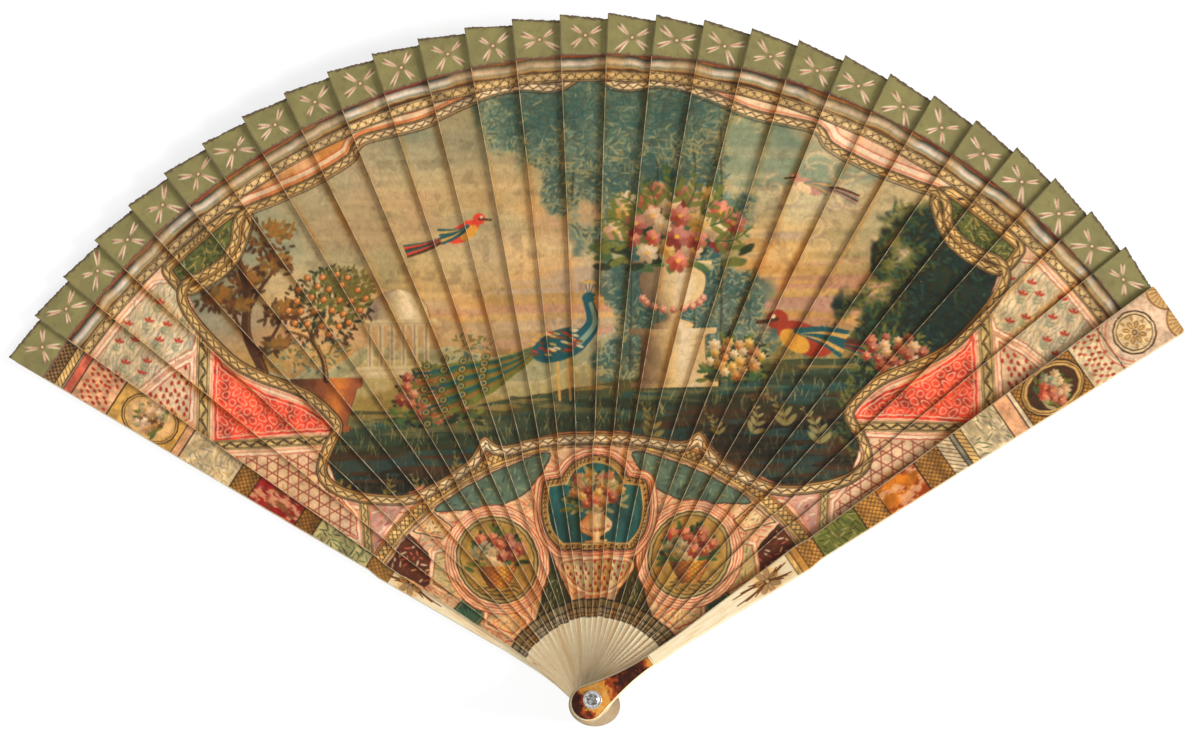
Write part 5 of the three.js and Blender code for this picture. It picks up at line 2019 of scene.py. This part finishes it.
@dataclass
class Fan:
    """The whole fan: guards, sticks, silk tabs, shell plate, rivet and stone."""

    stick_shell: Shell = field(default_factory=lambda: Shell(STICK_OUTLINE, 540, 50, (0.66, 0.46),
        ((0.0, -0.12), (0.1, -0.02), (0.28, 0.0))))
    guard_rim: tuple[Point, ...] = ((0.0, -0.45), (0.15, -0.15), (0.45, 0.0))
    guard_top: float = 1.6
    tab_rows: int = 42
    tab_columns: int = 54
    tab_thickness: float = 0.12
    glue_gap: float = 0.02
    wrinkle_height: float = 0.05
    clearance: float = 0.01

    def __post_init__(self) -> None:
        """Mixes the finishes that several pieces share."""
        self.ivory = PaintedIvory("painted_ivory", roughness=0.4, specular=0.14, coat=0.05, bump=0.3).build()
        self.silk = Silk("silk", roughness=0.75, specular=0.15, sheen=0.15, bump=0.3).build()

    def worn(self, inside: Array, y: Array, rng: np.random.Generator) -> Array:
        """How much paint is left at distances from the left side of a blade."""
        ragged = np.interp(y, np.linspace(20, 206, 160), rng.uniform(-0.05, 0.08, 160))
        return np.clip((inside - ragged) / 0.16, 0.25, 1)

    def bare_ivory_and_light(self, x: Array, y: Array, upper: Array, rgb: Array, cover: Array,
            stain: float) -> tuple[Array, Array]:
        """Honey coloured ivory below the painting, made brighter as painted light where the stacked sticks
        shade the necks, and the dirt along the edge of the head.
        """
        # painted light: a bright honey tone on the necks, against the shade of the sticks above
        honey_light = upper * ease((y - 6) / 4) * ease((IVORY_END + 0.3 - y) / 0.4) * 0.5
        edge = STICK_OUTLINE.head_radius - np.hypot(x, y + STICK_OUTLINE.head_setback)
        dirt = np.exp(-(edge / 0.12) ** 2) * (y < 6) * 0.5
        for mask, tone in ((honey_light, blend(HONEY, TAN, stain)), (dirt, BROWN)):
            rgb = np.where((mask > cover)[:, None], tone, rgb)
            cover = np.maximum(mask, cover)
        return rgb, cover

    def amber_and_shade_edges(self, inside: Array, y: Array, rgb: Array, rng: np.random.Generator) -> Array:
        """The painting darkened by old varnish at a stick's left edge, and by painted shade against the next
        stick, where that stick overlaps it.
        """
        seen = y * math.sin(math.radians(PITCH))
        # painted shade: darkening along the strip that the next stick covers and shades
        pooled_and_shaded = np.exp(-(inside / 1.1) ** 2) + 1.3 * np.exp(-((inside - seen + 0.4) / 1.3) ** 2)
        patchy = np.interp(y, np.linspace(IVORY_END, TIP, 14), rng.uniform(0, 1, 14) ** 1.5)
        return rgb * (1 - 0.75 * (pooled_and_shaded * patchy)[:, None] * (0.08, 0.3, 0.62))

    def stick(self, index: int, template: bpy.types.Mesh, local: Array, painting: Canvas) -> None:
        """One stick, its paint a little out of line with its neighbours'."""
        rng = np.random.default_rng(100 + index)
        node = f"stick_{index:02d}"
        lie = Lie(index, heights(node)[0], min(0.5, 0.25 + 0.04 * (STICKS - index)))
        mesh = template.copy()
        x, y, z = local.T
        shift, twist = rng.uniform(-0.25, 0.25), math.radians(rng.uniform(-0.06, 0.06))
        rgb, cover, gilt = painting.sample(*lie.spread(x + y * twist, y + shift))
        upper = z > self.stick_shell.top_at(y) - 0.2
        inside = x + STICK_OUTLINE.half_at(y)
        cover = cover * self.worn(inside, y, rng) * upper * (y > NECK_START)
        # darker paint at the left edge, and painted shade against the next stick
        rgb = np.clip(self.amber_and_shade_edges(inside, y, rgb, rng) * (1 + rng.uniform(-0.05, 0.04)), 0, 1)
        # honey ivory on the necks, brightened as painted light
        rgb, cover = self.bare_ivory_and_light(x, y, upper, rgb, cover, 0.5 * rng.random() ** 2)
        lie.place(mesh, local, STICK_OUTLINE)
        colour_mesh(mesh, local, rgb, cover, gilt * cover * upper, index)
        finish_piece(f"painted_stick_{index:02d}", mesh, node, self.ivory)
        self.tab(index, lie, STICK_OUTLINE, self.stick_shell.thickness[1], rng)

    def guard(self, name: str, index: int, outline: Outline, painting: GuardPainting, pocket: float = 0.0,
            recess: float = 0.0) -> None:
        """One guard."""
        mesh = Shell(outline, 620, 56, (self.guard_top, self.guard_top), self.guard_rim, 21.0, False, pocket,
            recess).build()
        local = positions(mesh)
        x, y, z = local.T
        rgb, cover, gilt = painting.paint().sample(x, y)
        left = np.clip((outline.half_at(y) - np.abs(x) - 0.1) / 0.3, 0, 1)
        cover = cover * left * (z > 1.1) * (y > NECK_START)
        lie = Lie(index, heights(name)[0])
        lie.place(mesh, local, outline)
        colour_mesh(mesh, local, rgb, cover, gilt * cover, index)
        finish_piece(f"painted_{name}", mesh, name, self.ivory)
        if not pocket:
            self.tab(index, lie, outline, self.guard_top, np.random.default_rng(99))

    def tab_painting(self, rng: np.random.Generator) -> Canvas:
        """One tab: four feathered strokes that cross at a pale knot."""
        canvas = Canvas(-8.8, 192.5, 8.8, 206.5, 0.12, ground=SILK)
        canvas.wash(0.5 * cloudy(canvas.shape, (30, 40), int(rng.integers(1e6))), SILK_DARK)
        hub = (rng.uniform(-1.0, 0.2), 199.3 + rng.uniform(-0.4, 0.4))
        for turn in (0.6, 2.5, 3.8, 5.4):
            turn += rng.uniform(-0.3, 0.3)
            length = rng.uniform(3.4, 5.4)
            middle = 1.0 + length / 2
            for spread, width, ink in ((0.0, 1.3, UMBER), (-0.11, 0.6, CREAM), (0.11, 0.6, CREAM),
                    (0.0, 0.42, ROSE)):
                way = turn + spread * rng.uniform(0.8, 1.3)
                canvas.dab(hub[0] + 1.15 * middle * math.cos(way), hub[1] + middle * math.sin(way), length,
                    width, way, blend(ink, BROWN, rng.uniform(0, 0.25)), 0.95)
        canvas.dab(*hub, 1.9, 1.7, 0, BROWN)
        canvas.dab(*hub, 1.0, 0.9, 0, blend(CREAM, PINK, 0.5))
        x, y = canvas.places()
        y = y + 0.7 * cloudy(canvas.shape, (8, 8), int(rng.integers(1e6)))
        canvas.wash(canvas.edge(y + x * STICK_OUTLINE.tip_slant / 8.15 - 204.9) * 0.8, UMBER)
        canvas.wash(canvas.edge(194.3 - y) * 0.75, blend(UMBER, CRIMSON, 0.3))
        return canvas

    def tab(self, index: int, lie: Lie, outline: Outline, top: float, rng: np.random.Generator) -> None:
        """The silk tab glued over one tip, its wrinkles kept clear of the blade above."""
        node = f"ribbon_{index:02d}"
        mesh = baked(flat_grid(self.tab_columns, self.tab_rows), "tab")
        u, v, _ = positions(mesh).T + 0.5
        wrinkle = value_noise((64, 64), (14, 9), rng)[(v * 63).astype(int), (u * 63).astype(int)]
        frayed = np.interp(u, np.linspace(0, 1, 40), rng.uniform(-0.3, 0.05, 40))
        y = SILK_START + (SILK_END - SILK_START) * v
        x = (2 * u - 1) * (outline.half_at(y) - 0.15)
        y += outline.slant(x, y) + frayed * v ** 8
        above = "front_guard" if index == STICKS else f"stick_{index + 1:02d}"
        room = heights(above)[0] - heights(node)[1] - self.clearance
        height = top + self.glue_gap + min(self.wrinkle_height, room) * wrinkle
        local = np.stack((x, y, height), 1).astype(np.float32)
        rgb, _, _ = self.tab_painting(rng).sample(x, y)
        lie.place(mesh, local, outline)
        colour_mesh(mesh, local, rgb, np.ones(len(x)), np.zeros(len(x)), index)
        piece = finish_piece(f"silk_tab_{index:02d}", mesh, node, self.silk, 80.0)
        thicken = piece.modifiers.new("thickness", "SOLIDIFY")
        thicken.thickness, thicken.offset = self.tab_thickness * MM, 1.0

    def plate(self) -> None:
        """The tortoiseshell plate let into the front guard's head."""
        low, high = heights("front_guard_shell")
        builder = bmesh.new()
        rim = new_loop(builder, FRONT_OUTLINE.head_path(0.55, 20.4), high - low)
        hole = ring_loop(builder, 1.1, high - low)
        fill(builder, rim + hole)
        drop(builder, rim + hole, 0.0)
        close(builder, open_edges(builder))
        bmesh.ops.bevel(builder, geom=[edge for edge in rim if edge.is_valid], offset=0.12, segments=2,
            profile=0.5, affect="EDGES", material=-1, clamp_overlap=True)
        mesh = baked(builder, "plate")
        Lie(STICKS + 1, low).place(mesh, positions(mesh), FRONT_OUTLINE)
        shell = Tortoiseshell("tortoiseshell", roughness=0.3, specular=0.12, coat=0.06, coat_roughness=0.1,
            bump=0.2)
        finish_piece("tortoiseshell_plate", mesh, "front_guard_shell", shell.build())

    def turned(self, builder: bmesh.types.BMesh, name: str, node: str, finish: Finish,
            sharp: float) -> None:
        """Closes a mesh in millimetres round the rivet's axis and makes it a piece."""
        bmesh.ops.remove_doubles(builder, verts=builder.verts, dist=1e-4)
        bmesh.ops.recalc_face_normals(builder, faces=builder.faces)
        bmesh.ops.scale(builder, vec=(MM, MM, MM), verts=builder.verts)
        finish_piece(name, baked(builder, name), node, finish.build(), sharp)

    def rivet(self) -> None:
        """The rivet: a flat rear head, a pin and a cup with a rolled rim, turned in one piece."""
        base, top = heights("rivet")
        cup = top - 1.3
        profile = [(0, base), (2.4, base), (2.5, base + 0.1), (2.5, 0.5), (2.4, 0.6), (1, 0.6), (1, cup),
            (2.6, cup), (2.7, cup + 0.12), (2.7, cup + 0.3), (2.58, cup + 0.4), (2.58, cup + 0.75),
            (2.7, cup + 0.85), (2.7, top - 0.1), (2.63, top), (2.47, top), (2.4, top - 0.1), (2.4, cup + 0.4),
            (0, cup + 0.4)]
        builder = bmesh.new()
        verts = [builder.verts.new((x, 0, z)) for x, z in profile]
        edges = [builder.edges.new(pair) for pair in zip(verts, verts[1:])]
        bmesh.ops.spin(builder, geom=verts + edges, axis=(0, 0, 1), cent=(0, 0, 0), steps=64,
            angle=2 * math.pi, use_merge=True)
        self.turned(builder, "turned_rivet", "rivet", WornMetal("worn_silver", roughness=0.26, specular=0.5,
            metallic=1.0, bump=0.3), 30.0)

    def stone(self) -> None:
        """The cut stone: foot, girdle, star facets and table."""
        base, _ = heights("paste_stone")
        builder = bmesh.new()
        for radius, height, count, turn in ((1.45, 0.0, 8, 0.0), (2.32, 0.7, 16, 0.0), (2.32, 0.9, 16, 0.0),
                (1.88, 1.33, 8, 0.5), (1.25, 1.75, 8, 0.0)):
            lifted = Matrix.Translation((0, 0, base + height))
            bmesh.ops.create_circle(builder, radius=radius, segments=count,
                matrix=lifted @ Matrix.Rotation(turn * 2 * math.pi / count, 4, "Z"))
        hull = bmesh.ops.convex_hull(builder, input=builder.verts)
        bmesh.ops.delete(builder, geom=[item for item in hull["geom_interior"] if item.is_valid],
            context="VERTS")
        self.turned(builder, "cut_stone", "paste_stone", PasteGlass("paste", roughness=0.03, specular=0.5,
            transmission=1.0), 5.0)

    def build(self) -> None:
        """Makes every piece of the fan."""
        painting = SpreadPainting(-180, 8, 180, 208, 0.2, seed=7).paint()
        back = GuardPainting(seed=5, bands=BACK_BANDS, oval=Oval(-0.8, 159.5, 5.6, 7.6), spray=66.0,
            back=blend(CREAM, PEACH, 0.4), petals=(PINK, WHITE, BROWN, PEACH))
        self.guard("back_guard", 0, BACK_OUTLINE, back, recess=0.65)
        template = self.stick_shell.build()
        local = positions(template)
        for index in range(1, STICKS + 1):
            self.stick(index, template, local, painting)
        bpy.data.meshes.remove(template)
        front = GuardPainting(seed=9, bands=FRONT_BANDS, oval=Oval(0, 163.4, 6.1, 8.4), spray=62.0,
            back=UMBER, rosette=192.5)
        self.guard("front_guard", STICKS + 1, FRONT_OUTLINE, front, pocket=0.7)
        self.plate()
        self.rivet()
        self.stone()


@dataclass
class Studio:
    """A pale floor, soft lamps and the camera."""

    floor_size: float = 3.0
    sky_strength: float = 0.45
    key_watts: float = 150.0
    lamp_size: float = 1.0
    key_place: tuple[float, float, float] = (2.85, 0.0, 1.22)
    fill_watts: float = 11.0
    fill_place: tuple[float, float, float] = (-0.2, -1.1, 0.9)
    camera_place: tuple[float, float, float] = (0.0652, -0.0326, 1.301)
    camera_turn: tuple[float, float, float] = (-5.793, -2.755, 0.977)
    lens: float = 130.53

    def floor(self) -> None:
        """The floor, just under the fan."""
        builder = bmesh.new()
        bmesh.ops.create_grid(builder, x_segments=1, y_segments=1, size=self.floor_size / 2,
            matrix=Matrix.Translation((0, 0.1, -0.0004)))
        floor = put_in_scene("floor", baked(builder, "floor"))
        floor.data.materials.append(Backdrop("floor", roughness=1.0, specular=0.0).build())

    def sky(self) -> None:
        """Even light from all round, plain white to the camera."""
        world = bpy.data.worlds.new("studio")
        graph = empty_graph(world)
        strength = graph.span(show_white(graph), 0.0, 1.0, self.sky_strength, 1.0)
        sky = graph.node("ShaderNodeBackground", {"Color": (1, 1, 1, 1), "Strength": strength})
        graph.node("ShaderNodeOutputWorld", {"Surface": sky.outputs[0]})
        bpy.context.scene.world = world

    def lamp(self, name: str, watts: float, place: tuple[float, float, float]) -> None:
        """A soft square lamp that points at the fan."""
        light = bpy.data.lights.new(name, "AREA")
        light.shape, light.size, light.energy = "SQUARE", self.lamp_size, watts
        lamp = put_in_scene(name, light)
        lamp.location = place
        lamp.rotation_euler = (Vector((0, 0.1, 0)) - lamp.location).to_track_quat("-Z", "Y").to_euler()

    def camera(self) -> None:
        """The camera, where the photograph was taken from."""
        data = bpy.data.cameras.new("camera")
        data.lens, data.sensor_width = self.lens, 36.0
        camera = put_in_scene("camera", data)
        turn_x, turn_y, turn_z = (Matrix.Rotation(math.radians(angle), 3, axis)
            for angle, axis in zip(self.camera_turn, "XYZ"))
        to_camera = turn_z @ turn_y @ turn_x
        camera.matrix_world = Matrix.Translation(self.camera_place) @ to_camera.transposed().to_4x4()
        bpy.context.scene.camera = camera

    def build(self) -> None:
        """Sets up the whole studio."""
        self.floor()
        self.sky()
        self.lamp("key", self.key_watts, self.key_place)  # low, so that each blade shades the next
        self.lamp("fill", self.fill_watts, self.fill_place)
        self.camera()
        bpy.context.scene.view_settings.view_transform = "Standard"


def main() -> None:
    """Builds the fan and its studio."""
    logging.basicConfig(level=logging.INFO, format="%(name)s: %(message)s")
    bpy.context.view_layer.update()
    Fan().build()
    Studio().build()


if __name__ == "__main__":
    main()
